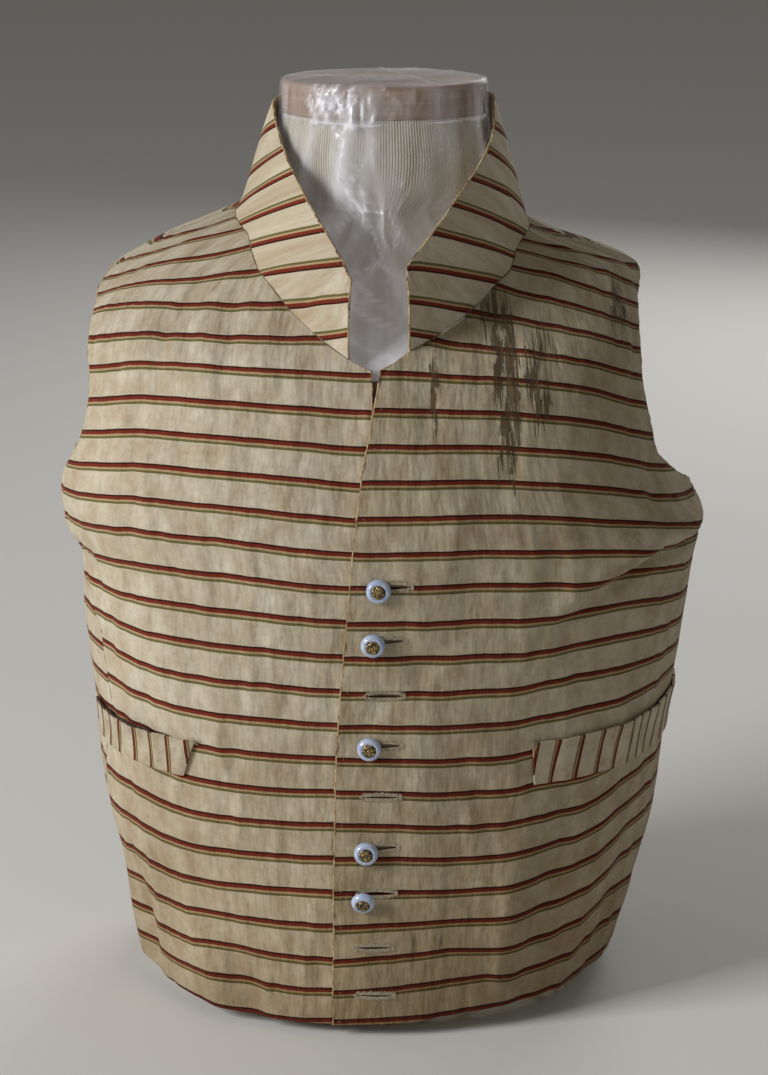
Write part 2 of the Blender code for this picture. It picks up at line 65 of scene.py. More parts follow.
bpy.ops.object.select_all(action="DESELECT")
bpy.ops.mesh.primitive_plane_add(size=FLOOR_WIDTH, location=(0, 0, 0))
floor = bpy.context.object
floor.name = "floor"
floor_paint = bpy.data.materials.new("floor_paint")
floor_paint.use_nodes = True
floor_shader = floor_paint.node_tree.nodes["Principled BSDF"]
floor_shader.inputs["Base Color"].default_value = FLOOR_COLOUR
floor_shader.inputs["Roughness"].default_value = 0.75
floor.data.materials.append(floor_paint)

for name, place, width, power in LAMPS:
    bpy.ops.object.light_add(type="AREA", location=place)
    lamp = bpy.context.object
    lamp.name = name
    lamp.data.size = width
    lamp.data.energy = power
    aim = [aimed - own for aimed, own in zip(LAMP_AIM, place)]
    level = math.hypot(aim[0], aim[1])
    lamp.rotation_euler = (math.atan2(level, -aim[2]), 0, math.atan2(-aim[0], aim[1]))

sky = bpy.data.worlds.new("studio")
sky.use_nodes = True
sky.node_tree.nodes["Background"].inputs["Color"].default_value = SKY_COLOUR
sky.node_tree.nodes["Background"].inputs["Strength"].default_value = SKY_STRENGTH
bpy.context.scene.world = sky

bpy.ops.object.camera_add(location=CAMERA_PLACE, rotation=(math.pi / 2 - CAMERA_DOWN, 0, 0))
camera = bpy.context.object
camera.data.sensor_fit = "VERTICAL"
camera.data.sensor_height = FRAME_HEIGHT
camera.data.lens = CAMERA_LENS
bpy.context.scene.camera = camera
bpy.context.scene.view_settings.view_transform = "Standard"


# The dress form.
# A limbless padded body on its flat foot, under a tube of ribbed cotton drawn over its neck. Its
# rings are read from the cross sections, and its shoulders are the body surface's own, lowered.
FORM_COLUMNS = ("height", "right", "left", "front", "back", "squareness")
FORM = (
    (0, 143, 134, 124, 96, 2.2),
    (60, 151, 147, 124, 96, 2.2),
    (125, 163, 159, 121, 90, 2.2),
    (180, 168, 166, 120, 95, 2.2),
    (233, 173, 174, 120, 101, 2.2),
    (272, 174, 176, 120, 106, 2.2),
    (311, 172, 168, 118, 108, 2.2),
    (345, 163, 150, 114, 107, 2.2),
    (385, 159, 143, 105, 99, 2.2),
    (404, 158, 142, 98, 93, 2.2),
    (415, 158, 142, 88, 89, 2.2),
    (430, 158, 143.5, 70, 83, 2.1),
    (448, 158, 148, 55, 74, 1.65),
    (466, 131, 107, 53, 64, 1.25),
    (484, 90, 77, 52, 54, 1.25),
    (500, 66.5, 65, 51.5, 51.5, 1.8),
    (520, 63.5, 63.5, 51, 51, 2),
    (539.7, 61, 61, 49.5, 49.5, 2),
)
FORM_RISE = 5.5
FORM_TURNS = 120
SHOULDER_DROP = 2.6
# The body surface, which every cut piece lies on: half widths on the two sides, and depths, in mm
BODY_COLUMNS = ("height", "right", "left", "front", "back")
BODY = (
    (0, 156, 143, 140, 108),
    (60, 165, 160, 136, 108),
    (125, 178, 174, 131, 101),
    (180, 182, 180, 130, 106),
    (233, 187, 188, 130, 112),
    (272, 188, 193, 131, 117),
    (292, 195, 197, 130, 118),
    (311, 200, 189, 129, 119),
    (333, 198, 179, 127, 119),
    (360, 193, 173, 122, 116),
    (385, 190, 168, 116.5, 110),
    (404, 189, 165, 110, 103),
    (415, 187, 163, 99, 98),
    (430, 180, 159, 77, 90),
    (448, 163, 153, 54, 80),
    (456, 150, 137, 45, 76),
    (466, 131, 107, 36, 70.5),
    (476, 106, 87, 27, 66),
    (486, 84, 72, 16, 62),
    (500, 70, 66, 10, 56),
)
SQUARENESS = 2.3
# Where the middle of the body surface stands over the floor
CENTRE = np.array((1.6, 12.1, 0)) * MM
# Ribs round the neck, how far each leans on the left of the neck, in turns for a metre, and the
# height where it leaves the upright
RIBS = 236
RIB_LEAN = 0.35
RIB_LEAN_TOP = 540


def column(columns, table, name):
    """One named column of a table."""
    return np.array([row[columns.index(name)] for row in table], float)


def smooth_read(places, values, place):
    """Reads a smooth curve through the points (places, values). It never overshoots them."""
    places, values = np.array(places, float), np.array(values, float)
    step = np.diff(places)
    slope = np.diff(values) / step
    tangent = np.zeros(len(values))
    tangent[0], tangent[-1] = slope[0], slope[-1]
    same_way = slope[1:] * slope[:-1] > 0
    steepest = np.where(same_way, slope[1:] + slope[:-1], 1)
    tangent[1:-1] = np.where(same_way, 2 * slope[1:] * slope[:-1] / steepest, 0)
    place = np.clip(place, places[0], places[-1])
    left = np.clip(np.searchsorted(places, place) - 1, 0, len(step) - 1)
    t = (place - places[left]) / step[left]
    start, end = values[left], values[left + 1]
    pull_start, pull_end = tangent[left] * step[left], tangent[left + 1] * step[left]
    return (
        start * (1 + 2 * t) * (1 - t) ** 2
        + end * t * t * (3 - 2 * t)
        + pull_start * t * (1 - t) ** 2
        - pull_end * t * t * (1 - t)
    )


def table_read(columns, table, name, place):
    return smooth_read(column(columns, table, columns[0]), column(columns, table, name), place)


def body_size(name, height):
    return table_read(BODY_COLUMNS, BODY, name, height / MM) * MM


def rounded(turn, right, left, front, back, squareness):
    """The x and y of points round an oval that has its own half width or depth on each side."""
    across, ahead = np.sin(turn), np.cos(turn)
    power = 2 / squareness
    x = np.where(across < 0, right, left) * np.sign(across) * np.abs(across) ** power
    y = -np.where(ahead > 0, front, back) * np.sign(ahead) * np.abs(ahead) ** power
    return x, y


def bent_grid(name, points, places, turned=False):
    """A grid primitive moved to rows of points, with the places in its UV map, called cloth."""
    if turned:
        points, places = points[:, ::-1], places[:, ::-1]
    rows, columns = points.shape[:2]
    bpy.ops.object.select_all(action="DESELECT")
    bpy.ops.mesh.primitive_grid_add(x_subdivisions=columns - 1, y_subdivisions=rows - 1, size=1)
    piece = bpy.context.object
    piece.name = piece.data.name = name
    piece.data.vertices.foreach_set("co", (points + CENTRE).reshape(-1))
    corners = np.empty(len(piece.data.loops), int)
    piece.data.loops.foreach_get("vertex_index", corners)
    piece.data.uv_layers[0].name = "cloth"
    piece.data.uv_layers[0].data.foreach_set("uv", places.reshape(-1, 2)[corners].reshape(-1))
    piece.data.update()
    return piece


def pick(piece):
    """Makes one piece the only one that is selected, and the active one."""
    bpy.ops.object.select_all(action="DESELECT")
    piece.select_set(True)
    bpy.context.view_layer.objects.active = piece


def edit(piece, *steps):
    """Runs edit mode operators on the whole piece, each given with its settings."""
    pick(piece)
    bpy.ops.object.mode_set(mode="EDIT")
    bpy.ops.mesh.select_all(action="SELECT")
    for operator, settings in steps:
        operator(**settings)
    bpy.ops.object.mode_set(mode="OBJECT")


def finish_mesh(piece, paints, smooth_angle=40):
    """Gives a piece its paints and smooth shading, and lets it ride on the object's one body."""
    for paint in paints:
        piece.data.materials.append(paint)
    pick(piece)
    bpy.ops.object.shade_smooth_by_angle(angle=math.radians(smooth_angle))
    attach(piece, "root")
    return piece


def new_paint(name, roughness, **sockets):
    """A material whose shader's sockets are set by name. Returns it with its shader."""
    paint = bpy.data.materials.new(name)
    paint.use_nodes = True
    shader = paint.node_tree.nodes["Principled BSDF"]
    shader.inputs["Roughness"].default_value = roughness
    for socket, value in sockets.items():
        shader.inputs[socket.replace("_", " ")].default_value = value
    return paint, shader


def feed(paint, socket, value):
    """Sets a socket, or links an output to it."""
    if isinstance(value, bpy.types.NodeSocket):
        paint.node_tree.links.new(value, socket)
    else:
        socket.default_value = value


def node(paint, kind, sockets=(), output=0, **settings):
    """Adds a node with its settings and the values or outputs that feed it. Returns an output."""
    made = paint.node_tree.nodes.new("ShaderNode" + kind)
    for name, value in settings.items():
        setattr(made, name, value)
    for socket, value in dict(sockets).items():
        feed(paint, made.inputs[socket], value)
    return made.outputs[output]


def sums(paint, operation, first, second=0.0, third=0.0):
    return node(paint, "Math", {0: first, 1: second, 2: third}, operation=operation)


def noise(paint, places, scale, detail=3.0, roughness=0.55):
    sockets = {"Vector": places, "Scale": scale, "Detail": detail, "Roughness": roughness}
    return node(paint, "TexNoise", sockets)


def ramp(paint, value, *stops):
    """A colour ramp of (place, grey or colour) stops."""
    made = paint.node_tree.nodes.new("ShaderNodeValToRGB")
    paint.node_tree.links.new(value, made.inputs[0])
    points = made.color_ramp.elements
    while len(points) < len(stops):
        points.new(0.5)
    for point, (place, shade) in zip(points, stops):
        point.position = place
        point.color = (*shade, 1) if isinstance(shade, tuple) else (shade, shade, shade, 1)
    return made.outputs[0]


def blend(paint, share, first, second, way="MIX"):
    """Mixes two colours. Share is how much of the second there is."""
    first, second = (
        (*colour, 1) if isinstance(colour, tuple) else colour for colour in (first, second)
    )
    sockets = {0: share, 6: first, 7: second}
    return node(paint, "Mix", sockets, output=2, data_type="RGBA", blend_type=way)


def tinted(paint, colour, tint, share=1.0):
    """A colour multiplied by a second one."""
    return blend(paint, share, colour, tint, "MULTIPLY")


def bumped(paint, shader, height, distance, strength=1.0):
    """Adds a bump over whatever the shader's normal already has."""
    sockets = {"Height": height, "Distance": distance, "Strength": strength}
    old = shader.inputs["Normal"].links
    if old:
        sockets["Normal"] = old[0].from_socket
    feed(paint, shader.inputs["Normal"], node(paint, "Bump", sockets))


form_heights = np.append(np.arange(0, FORM[-1][0], FORM_RISE), FORM[-1][0])
form_rings = []
for height in form_heights:
    sizes = [table_read(FORM_COLUMNS, FORM, name, height) for name in FORM_COLUMNS[1:]]
    for k, side in enumerate(("right", "left")):
        sizes[k] = min(sizes[k], body_size(side, (height + SHOULDER_DROP) * MM) / MM)
    form_rings.append(sizes)
form_turn = np.linspace(-math.pi, math.pi, FORM_TURNS + 1)
form_rings = np.array(form_rings)[:, :, None]
x, y = rounded(form_turn[None, :], *(form_rings[:, k] for k in range(5)))
form_points = np.stack([x, y, form_heights[:, None] + 0 * x], axis=-1) * MM
form_lean = RIB_LEAN * np.clip(np.sin(form_turn), 0, 1) * (form_points[..., 2] - RIB_LEAN_TOP * MM)
form_places = np.stack(
    [form_turn[None, :] / (2 * math.pi) + form_lean, form_points[..., 2]], axis=-1
)
form_body = bent_grid("dress_form", form_points, form_places)
edit(form_body, (bpy.ops.mesh.remove_doubles, {"threshold": 0.01 * MM}),
     (bpy.ops.mesh.region_to_loop, {}), (bpy.ops.mesh.edge_face_add, {}))

knit, knit_shader = new_paint("ribbed_cotton", 0.9, Sheen_Weight=0.2, Specular_IOR_Level=0.2)
around = node(knit, "UVMap", uv_map="cloth")
rib = node(
    knit, "TexWave", {"Vector": around, "Scale": RIBS * 2 * math.pi / 20}, output=1,
    bands_direction="X",
)
# The knit is painted darker in the grooves between its ribs and paler on their crowns: painted
# shade.
rib_painted_shade = ramp(
    knit, rib, (0.0, (0.40, 0.36, 0.28)), (0.45, (0.57, 0.52, 0.41)), (1.0, (0.66, 0.61, 0.50)),
)
knit_mottle = noise(knit, node(knit, "TexCoord", output=3), 60, 4)
knit_worn = ramp(knit, knit_mottle, (0.3, (0.82, 0.80, 0.76)), (0.7, (1.0, 1.0, 1.0)))
feed(knit, knit_shader.inputs["Base Color"], tinted(knit, rib_painted_shade, knit_worn))
knit_rows = node(
    knit, "TexWave", {"Vector": around, "Scale": 240, "Distortion": 1.5, "Detail": 1.0}, output=1,
    bands_direction="Y",
)
bumped(knit, knit_shader, sums(knit, "MULTIPLY_ADD", knit_rows, 0.25, rib), 0.5 * MM, 0.8)
finish_mesh(form_body, [knit])
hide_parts("form_torso")


# The neck cap.
# A turned oval disc of pale limed wood that closes the neck, rounded over on its upper edge, with
# fine grain round its band.
CAP_FOOT = 540
CAP_TOP = 559
CAP_HALF_WIDTH = 61
CAP_HALF_DEPTH = 50
CAP_ROUND = 2.5
CAP_TURNS = 128
CAP_ROUND_STEPS = 6


def turned_piece(name, outline, turns):
    """A turned piece: a disc that is extruded and resized up an outline of (radius, height)."""
    outline = [(radius * MM, height * MM) for radius, height in outline]
    bpy.ops.object.select_all(action="DESELECT")
    radius, height = outline[0]
    bpy.ops.mesh.primitive_circle_add(
        vertices=turns, radius=radius, location=(0, 0, height), fill_type="NGON",
    )
    piece = bpy.context.object
    piece.name = piece.data.name = name
    bpy.ops.object.mode_set(mode="EDIT")
    bpy.ops.mesh.select_all(action="SELECT")
    for next_radius, next_height in outline[1:]:
        bpy.ops.mesh.extrude_region_move(
            TRANSFORM_OT_translate={"value": (0, 0, next_height - height)}
        )
        share = next_radius / radius
        bpy.ops.transform.resize(value=(share, share, 1), center_override=(0, 0, next_height))
        radius, height = next_radius, next_height
    bpy.ops.mesh.select_all(action="SELECT")
    bpy.ops.mesh.normals_make_consistent(inside=False)
    bpy.ops.object.mode_set(mode="OBJECT")
    return piece


def place_in_mesh(piece, move, turn=(0, 0, 0), size=(1, 1, 1)):
    """Moves, turns and sizes a piece, and puts that into its mesh."""
    piece.location = [own + added for own, added in zip(piece.location, move)]
    piece.rotation_euler = turn
    piece.scale = size
    pick(piece)
    bpy.ops.object.transform_apply(location=True, rotation=True, scale=True)


def stretched(paint, places, scale, shift=(0, 0, 0)):
    """The places after a Mapping node has scaled them, for a pattern that is longer one way."""
    return node(paint, "Mapping", {"Vector": places, "Scale": scale, "Location": shift})


cap_outline = [(CAP_HALF_WIDTH - 0.4, CAP_FOOT), (CAP_HALF_WIDTH, CAP_FOOT + 0.4)]
for k in range(CAP_ROUND_STEPS + 1):
    turn = math.pi / 2 * k / CAP_ROUND_STEPS
    inset = CAP_ROUND * (1 - math.cos(turn))
    cap_outline.append((CAP_HALF_WIDTH - inset, CAP_TOP - CAP_ROUND * (1 - math.sin(turn))))
cap_outline.append((CAP_HALF_WIDTH * 0.6, CAP_TOP - 0.3))
cap = turned_piece("neck_cap", cap_outline, CAP_TURNS)
place_in_mesh(cap, CENTRE, size=(1, CAP_HALF_DEPTH / CAP_HALF_WIDTH, 1))

wood, wood_shader = new_paint("limed_wood", 0.55)
wood_place = node(wood, "TexCoord", output=3)
grain = noise(wood, stretched(wood, wood_place, (14, 14, 420)), 1.0, 5, 0.6)
figure = noise(wood, stretched(wood, wood_place, (9, 30, 60)), 1.0, 3)
wood_colour = ramp(
    wood, grain,
    (0.25, (0.19, 0.115, 0.065)), (0.5, (0.29, 0.185, 0.110)), (0.75, (0.37, 0.25, 0.16)),
)
wood_cloud = ramp(wood, figure, (0.3, (0.86, 0.82, 0.80)), (0.7, (1.06, 1.03, 1.0)))
feed(wood, wood_shader.inputs["Base Color"], tinted(wood, wood_colour, wood_cloud))
feed(wood, wood_shader.inputs["Roughness"], ramp(wood, grain, (0.2, 0.62), (0.8, 0.45)))
bumped(wood, wood_shader, grain, 0.15 * MM, 0.5)
finish_mesh(cap, [wood], 35)
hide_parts("form_cap")


# The clear film.
# A creased wrap of thin clear film over the cap and the neck, tucked down inside the opening of the
# waistcoat. It keeps the form clean, and it is part of the form's finish. Its paint glows faintly,
# which is painted light, and its haze holds painted highlights along its folds and creases, a
# painted reflection over the cap's top, and painted light low on the neck where the collar shades
# it.
FILM_TURNS = 200
FILM_CAP_ROWS = 34
FILM_NECK_ROWS = 120
# The film's section over the cap, as (share of the cap's half width, height above the cap's top)
FILM_OVER_CAP = (
    (0, 1.1), (0.35, 1.3), (0.75, 1.1), (0.95, 0.9), (1.0, 0.2), (1.022, -2), (1.028, -8),
    (1.03, -19),
)
# How far down the film reaches at each angle from the middle of the front
FILM_FOOT_COLUMNS = ("angle", "height")
FILM_FOOT = (
    (-180, 500), (-90, 498), (-75, 494), (-60, 486), (-46, 472), (-36, 456), (-28, 440),
    (-20, 424), (-12, 408), (0, 396), (10, 406), (17, 420), (24, 434), (32, 450), (42, 466),
    (56, 482), (72, 492), (90, 498), (180, 500),
)
# How far off the neck the film stands, and the neck's radius, which turns angles into lengths
FILM_GAP = 2.0
NECK_RADIUS = 56
# How hazy the film grows low on the neck, partly its own milkiness and partly painted light where
# the collar shades it, on top of the cap, as a painted reflection, and along a fold and at a sharp
# crease, as painted highlights
FILM_LOW_HAZE_LIGHT = 0.55
FILM_TOP_REFLECTION_HAZE = 0.22
FOLD_HIGHLIGHT_HAZE = 0.22
CREASE_HIGHLIGHT_HAZE = 0.55
# Long soft folds as (angle, height, lean, length, width, depth), then for each patch of small
# sharp creases how many there are, the patch's middle, its reach, their lengths and their depth
FILM_FOLDS = (
    (-24, 500, 9, 60, 3.5, 1.5),
    (-17, 470, 10, 60, 4, 1.7),
    (-9, 430, 8, 45, 3, 2.0),
    (-21, 505, 13, 70, 8, 2.2),
    (3, 440, -4, 55, 4, 1.6),
    (12, 420, -12, 40, 3, 2.0),
    (22, 450, -16, 45, 4, 1.5),
    (38, 515, -6, 40, 4, 1.0),
    (-48, 500, 14, 50, 5, 1.2),
    (62, 520, -4, 40, 4, 1.2),
)
FILM_PATCHES = (
    (46, (-24, 550), (20, 11), (5, 13), 1.5),
    (10, (20, 548), (22, 9), (5, 10), 0.7),
    (8, (68, 540), (8, 16), (8, 20), 1.0),
    (12, (8, 482), (10, 18), (4, 10), 1.0),
    (30, (2, 430), (14, 34), (8, 26), 1.3),
    (16, (-16, 490), (10, 30), (10, 30), 0.9),
    (60, (0, 480), (180, 60), (6, 20), 0.45),
)
FILM_CREASE_WIDTH = 0.9
FILM_CREASE_LEAN = 32
# Straight creases in the film on the cap's flat top: their turn, their distance from its middle
# and their depth
FILM_TOP_CREASES = (
    (20, 14, 0.8), (72, -9, 0.6), (128, 22, 0.7), (160, -27, 0.6), (100, 36, 0.5), (45, -38, 0.5),
)
FILM_TOP_CREASE_WIDTH = 1.2

film_chance = np.random.default_rng(7)
film_creases = []
for count, (angle, height), (turn_reach, rise_reach), lengths, depth in FILM_PATCHES:
    for _ in range(count):
        film_creases.append((
            film_chance.normal(angle, turn_reach * 0.6),
            film_chance.normal(height, rise_reach * 0.6),
            film_chance.normal(0, FILM_CREASE_LEAN), film_chance.uniform(*lengths),
            film_chance.uniform(0.4, 1.0) * depth,
        ))


def unit(arrows):
    """The same directions, each with a length of one."""
    return arrows / np.maximum(np.linalg.norm(arrows, axis=-1, keepdims=True), 1e-12)


def leaning(beside, above, lean):
    """How far places lie along and across a mark that leans by this many degrees."""
    lean = math.radians(lean)
    along = above * math.cos(lean) + beside * math.sin(lean)
    return along, beside * math.cos(lean) - above * math.sin(lean)


def streaks(paint, places, across, up, detail=3.0, roughness=0.55):
    """Noise that is stretched on a piece's own map."""
    return noise(paint, stretched(paint, places, (across, up, 1)), 1.0, detail, roughness)


def film_relief(angle, height):
    """How far the film's folds and creases lift it, and how hazy they make it: painted highlights
    along them.
    """
    lift, haze = np.zeros(angle.shape), np.zeros(angle.shape)
    for middle, level, lean, length, width, depth in FILM_FOLDS:
        beside = np.radians(angle - middle) * NECK_RADIUS
        along, across = leaning(beside, height - level, lean)
        rise = np.exp(-((along / length) ** 2) - (across / width) ** 2)
        lift += depth * rise
        haze += FOLD_HIGHLIGHT_HAZE * rise
    for middle, level, lean, length, depth in film_creases:
        beside = np.radians(angle - middle) * NECK_RADIUS
        along, across = leaning(beside, height - level, lean)
        rise = np.exp(-((along / length) ** 2) - np.abs(across) / FILM_CREASE_WIDTH)
        lift += depth * rise
        haze += CREASE_HIGHLIGHT_HAZE * depth * rise**2
    return lift, haze


film_turn = np.linspace(-180, 180, FILM_TURNS + 1)[None, :]
share = np.linspace(0, 1, FILM_CAP_ROWS + 1)[:, None]
knots = np.array(FILM_OVER_CAP, float)
travelled = np.linspace(0, 1, len(knots))
out, above = (smooth_read(travelled, knots[:, k], share) for k in range(2))
half_width, half_depth = out * CAP_HALF_WIDTH, out * CAP_HALF_DEPTH
x, y = rounded(np.radians(film_turn), half_width, half_width, half_depth, half_depth, 2)
over_cap = np.stack([x, y, CAP_TOP + above + 0 * x], axis=-1)
film_foot = table_read(FILM_FOOT_COLUMNS, FILM_FOOT, "height", film_turn)
share = np.linspace(0, 1, FILM_NECK_ROWS + 1)[1:, None]
level = CAP_FOOT - share * (CAP_FOOT - film_foot)
sizes = [table_read(FORM_COLUMNS, FORM, name, level) for name in FORM_COLUMNS[1:]]
x, y = rounded(np.radians(film_turn), *sizes)
down_neck = np.stack([x, y, level], axis=-1)
film_points = np.concatenate([over_cap, down_neck])
film_normal = unit(np.cross(np.gradient(film_points, axis=0), np.gradient(film_points, axis=1)))
film_angles = np.broadcast_to(film_turn, film_points.shape[:2])
film_lift, film_haze_and_light = film_relief(film_angles, film_points[..., 2])
on_cap, on_neck = slice(0, len(over_cap)), slice(len(over_cap), None)
# The relief fades away past the cap's rim, where the film lies flat with its own creases
past_rim = np.clip(np.linspace(-1.9, 3.1, len(over_cap)), 0, 1)[:, None]
film_lift[on_cap] *= past_rim
film_haze_and_light[on_cap] *= past_rim
for turn, away, depth in FILM_TOP_CREASES:
    _, across = leaning(over_cap[..., 0], -over_cap[..., 1], turn)
    rise = np.exp(-np.abs(across - away) / FILM_TOP_CREASE_WIDTH) * (1 - past_rim)
    film_lift[on_cap] += depth * rise
    # The top creases are hazed too, as painted highlights.
    film_haze_and_light[on_cap] += 0.3 * depth * rise**2
film_lift[on_neck] *= np.clip(0.25 + (1 - share) * 4, 0, 1)
film_lift[on_neck] += FILM_GAP * np.clip(0.4 + (1 - share) * 6, 0, 1)
# More haze low on the neck: partly the film's own milkiness, partly painted light where the collar
# shades it.
film_haze_and_light[on_neck] += FILM_LOW_HAZE_LIGHT * np.clip((CAP_FOOT - 30 - level) / 100, 0, 1)
# Haze over the cap's top: a painted reflection in the film.
top_reflection_haze = np.clip(np.linspace(2.4, -1.4, len(over_cap)), 0, 1)[:, None]
film_haze_and_light[on_cap] += FILM_TOP_REFLECTION_HAZE * top_reflection_haze
film_points[1:] += film_normal[1:] * film_lift[1:, :, None]
film_points[:, -1] = film_points[:, 0]
film_places = np.stack([np.radians(film_angles) * NECK_RADIUS, film_points[..., 2]], axis=-1) * MM
film = bent_grid("clear_film", film_points[::-1] * MM, film_places[::-1])
# The haze attribute raises the film's alpha. It carries the film's milkiness together with its
# painted highlights, reflection and light.
hazed = film.data.attributes.new("haze", "FLOAT", "POINT")
hazed.data.foreach_set("value", np.clip(film_haze_and_light[::-1], 0, 1).reshape(-1))
edit(film, (bpy.ops.mesh.remove_doubles, {"threshold": 0.005 * MM}))

# The film's paint glows faintly with a pale emission: painted light that brightens it where the
# collar shades the neck.
glowing_film_paint, film_shader = new_paint(
    "clear_film", 0.16, Specular_IOR_Level=0.6, Base_Color=(0.84, 0.84, 0.90, 1),
    Emission_Color=(0.80, 0.78, 0.82, 1), Emission_Strength=0.12,
)
# Reads the haze, with its painted highlights, reflection and light.
film_haze_read = node(glowing_film_paint, "Attribute", attribute_name="haze", output=2)
film_place = node(glowing_film_paint, "UVMap", uv_map="cloth")
film_body = node(glowing_film_paint, "TexCoord", output=3)
film_height = node(glowing_film_paint, "SeparateXYZ", {0: film_body}, output=2)
film_top = ramp(glowing_film_paint, film_height, ((CAP_TOP - CAP_ROUND) * MM, 0.0), (CAP_TOP * MM, 1.0))
film_cloud = streaks(glowing_film_paint, film_place, 95, 13, 4)
film_cloud = blend(glowing_film_paint, film_top, film_cloud, noise(glowing_film_paint, film_body, 24, 4))
film_veil = ramp(glowing_film_paint, film_cloud, (0.38, 0.04), (0.66, 0.30))
film_crumple = noise(glowing_film_paint, film_body, 160, 4)
film_solid = sums(glowing_film_paint, "ADD", film_veil, film_haze_read)
feed(glowing_film_paint, film_shader.inputs["Alpha"], sums(glowing_film_paint, "MINIMUM", film_solid, 0.92))
bumped(glowing_film_paint, film_shader, film_crumple, 0.6 * MM, 0.5)
finish_mesh(film, [glowing_film_paint], 28)


# The fronts.
# Two cut pieces of striped cotton over a plain lining, laid on the body surface by an angle round
# the body and a height. The left one laps over the right one and has nine buttonholes.

# In mm: how thick the cloth is, the room between the fronts, how far past the lower one's edge the
# left one stands off, how far on it fades to the body surface, and how high the underarm is
CLOTH = 1.6
LAP_GAP = 0.9
LAP_COVER = 8
LAP_FADE = 40
UNDERARM = 300
# How many finer steps a panel has for each step of the frame's own panels
FINE = 5
SIDE_STEPS = 20 * FINE
ARMHOLE_STEPS = 6 * FINE
NECK_END_STEPS = FINE
NECK_STEPS = 8 * FINE
FRONT_STEPS = 22 * FINE
HEAD_REACH = 4
SEAM_GAP = 0.3
SIDE_SEAM_COLUMNS = ("height", "right", "left")
SIDE_SEAM = (
    (0, 84, 95),
    (100, 82, 95),
    (150, 72, 94),
    (190, 64, 94),
    (226, 65, 93),
    (246, 71, 92),
    (262, 80, 92),
    (300, 91, 91),
)
ARMHOLE_COLUMNS = ("height", "front_right", "front_left", "back")
ARMHOLE = (
    (300, 91, 91, 91),
    (308, 87, 88, 104),
    (322, 81, 80, 119),
    (346, 69, 67, 126),
    (378, 66, 66, 127),
    (408, 67, 67, 123),
    (430, 73, 73, 111),
    (448, 90, 90, 90),
)
FRONT_EDGE_COLUMNS = ("height", "right", "left")
FRONT_EDGE = (
    (6.5, 3, -30.4),
    (60, 4, -30),
    (150, 6, -28.6),
    (290, 14, -18.7),
    (345, 10, -12.5),
    (371.5, -5.5, -7.5),
    (404, -7.5, -2),
)
NECKLINE_COLUMNS = ("x", "height")
NECKLINE = {
    "right": ((-21, 410), (-31, 415.5), (-52, 430), (-71.5, 448), (-82, 470), (-84, 486)),
    "left": ((15.3, 413), (31.6, 420.5), (54.7, 434.5), (68.2, 446), (79, 462), (82, 478.5)),
}
HEM_COLUMNS = ("angle", "height")
HEM = (
    (-270, 16), (-180, 9), (-100, 17), (-84, 24), (-62, 13), (-30, 7.5), (-12, 7), (-6, 8),
    (4, 9.5), (12, 12), (28, 14), (45, 16), (58, 17.5), (72, 17), (90, 16),
)
# The largest folds as (angle, height, lean from upright, length, width, depth), with sizes in mm. A
# trough's depth is negative
FOLDS = (
    (69, 297, 88, 32, 8, 5.0),
    (49, 291, 72, 24, 8, 4.5),
    (35, 273, 57, 24, 8, 2.6),
    (70, 286, 90, 30, 3.6, -5.5),
    (50, 281, 72, 22, 4.2, -5.5),
    (37, 264, 57, 24, 5, -3.2),
    (84, 318, 40, 14, 7, 2.0),
    (60, 322, 20, 26, 9, -3.0),
    (-70, 268, -60, 26, 10, -3.0),
    (-82, 290, -70, 18, 8, 3.5),
    (33, 70, 4, 55, 9, -3.0),
    (24, 62, 2, 60, 10, 2.4),
    (46, 66, 8, 60, 11, 2.6),
    (59, 60, 10, 60, 11, -2.6),
    (70, 52, 12, 50, 9, 1.6),
    (-28, 22, -14, 26, 9, -3.5),
    (-38, 24, -8, 30, 10, 3.0),
    (-63, 46, -6, 36, 8, -4.0),
    (-71, 40, -4, 36, 8, 4.0),
    (-120, 60, 4, 55, 12, 4.0),
    (-150, 66, -3, 60, 12, -3.5),
    (-176, 72, 2, 60, 13, 4.0),
    (-205, 60, 4, 55, 13, -3.5),
    (-232, 66, -5, 55, 12, 4.0),
    (-140, 280, 60, 36, 11, -3.0),
    (-222, 276, -60, 36, 11, -3.0),
)
FOLD_RADIUS = 150
CLOTH_LEVEL = 250
# Small soft wrinkles all over: how many, and the least and most of each size, in mm
WRINKLES = 900
WRINKLE_LEAN = 14
WRINKLE_LENGTH = (10, 38)
WRINKLE_WIDTH = (2.8, 6.0)
WRINKLE_DEPTH = (0.3, 1.05)
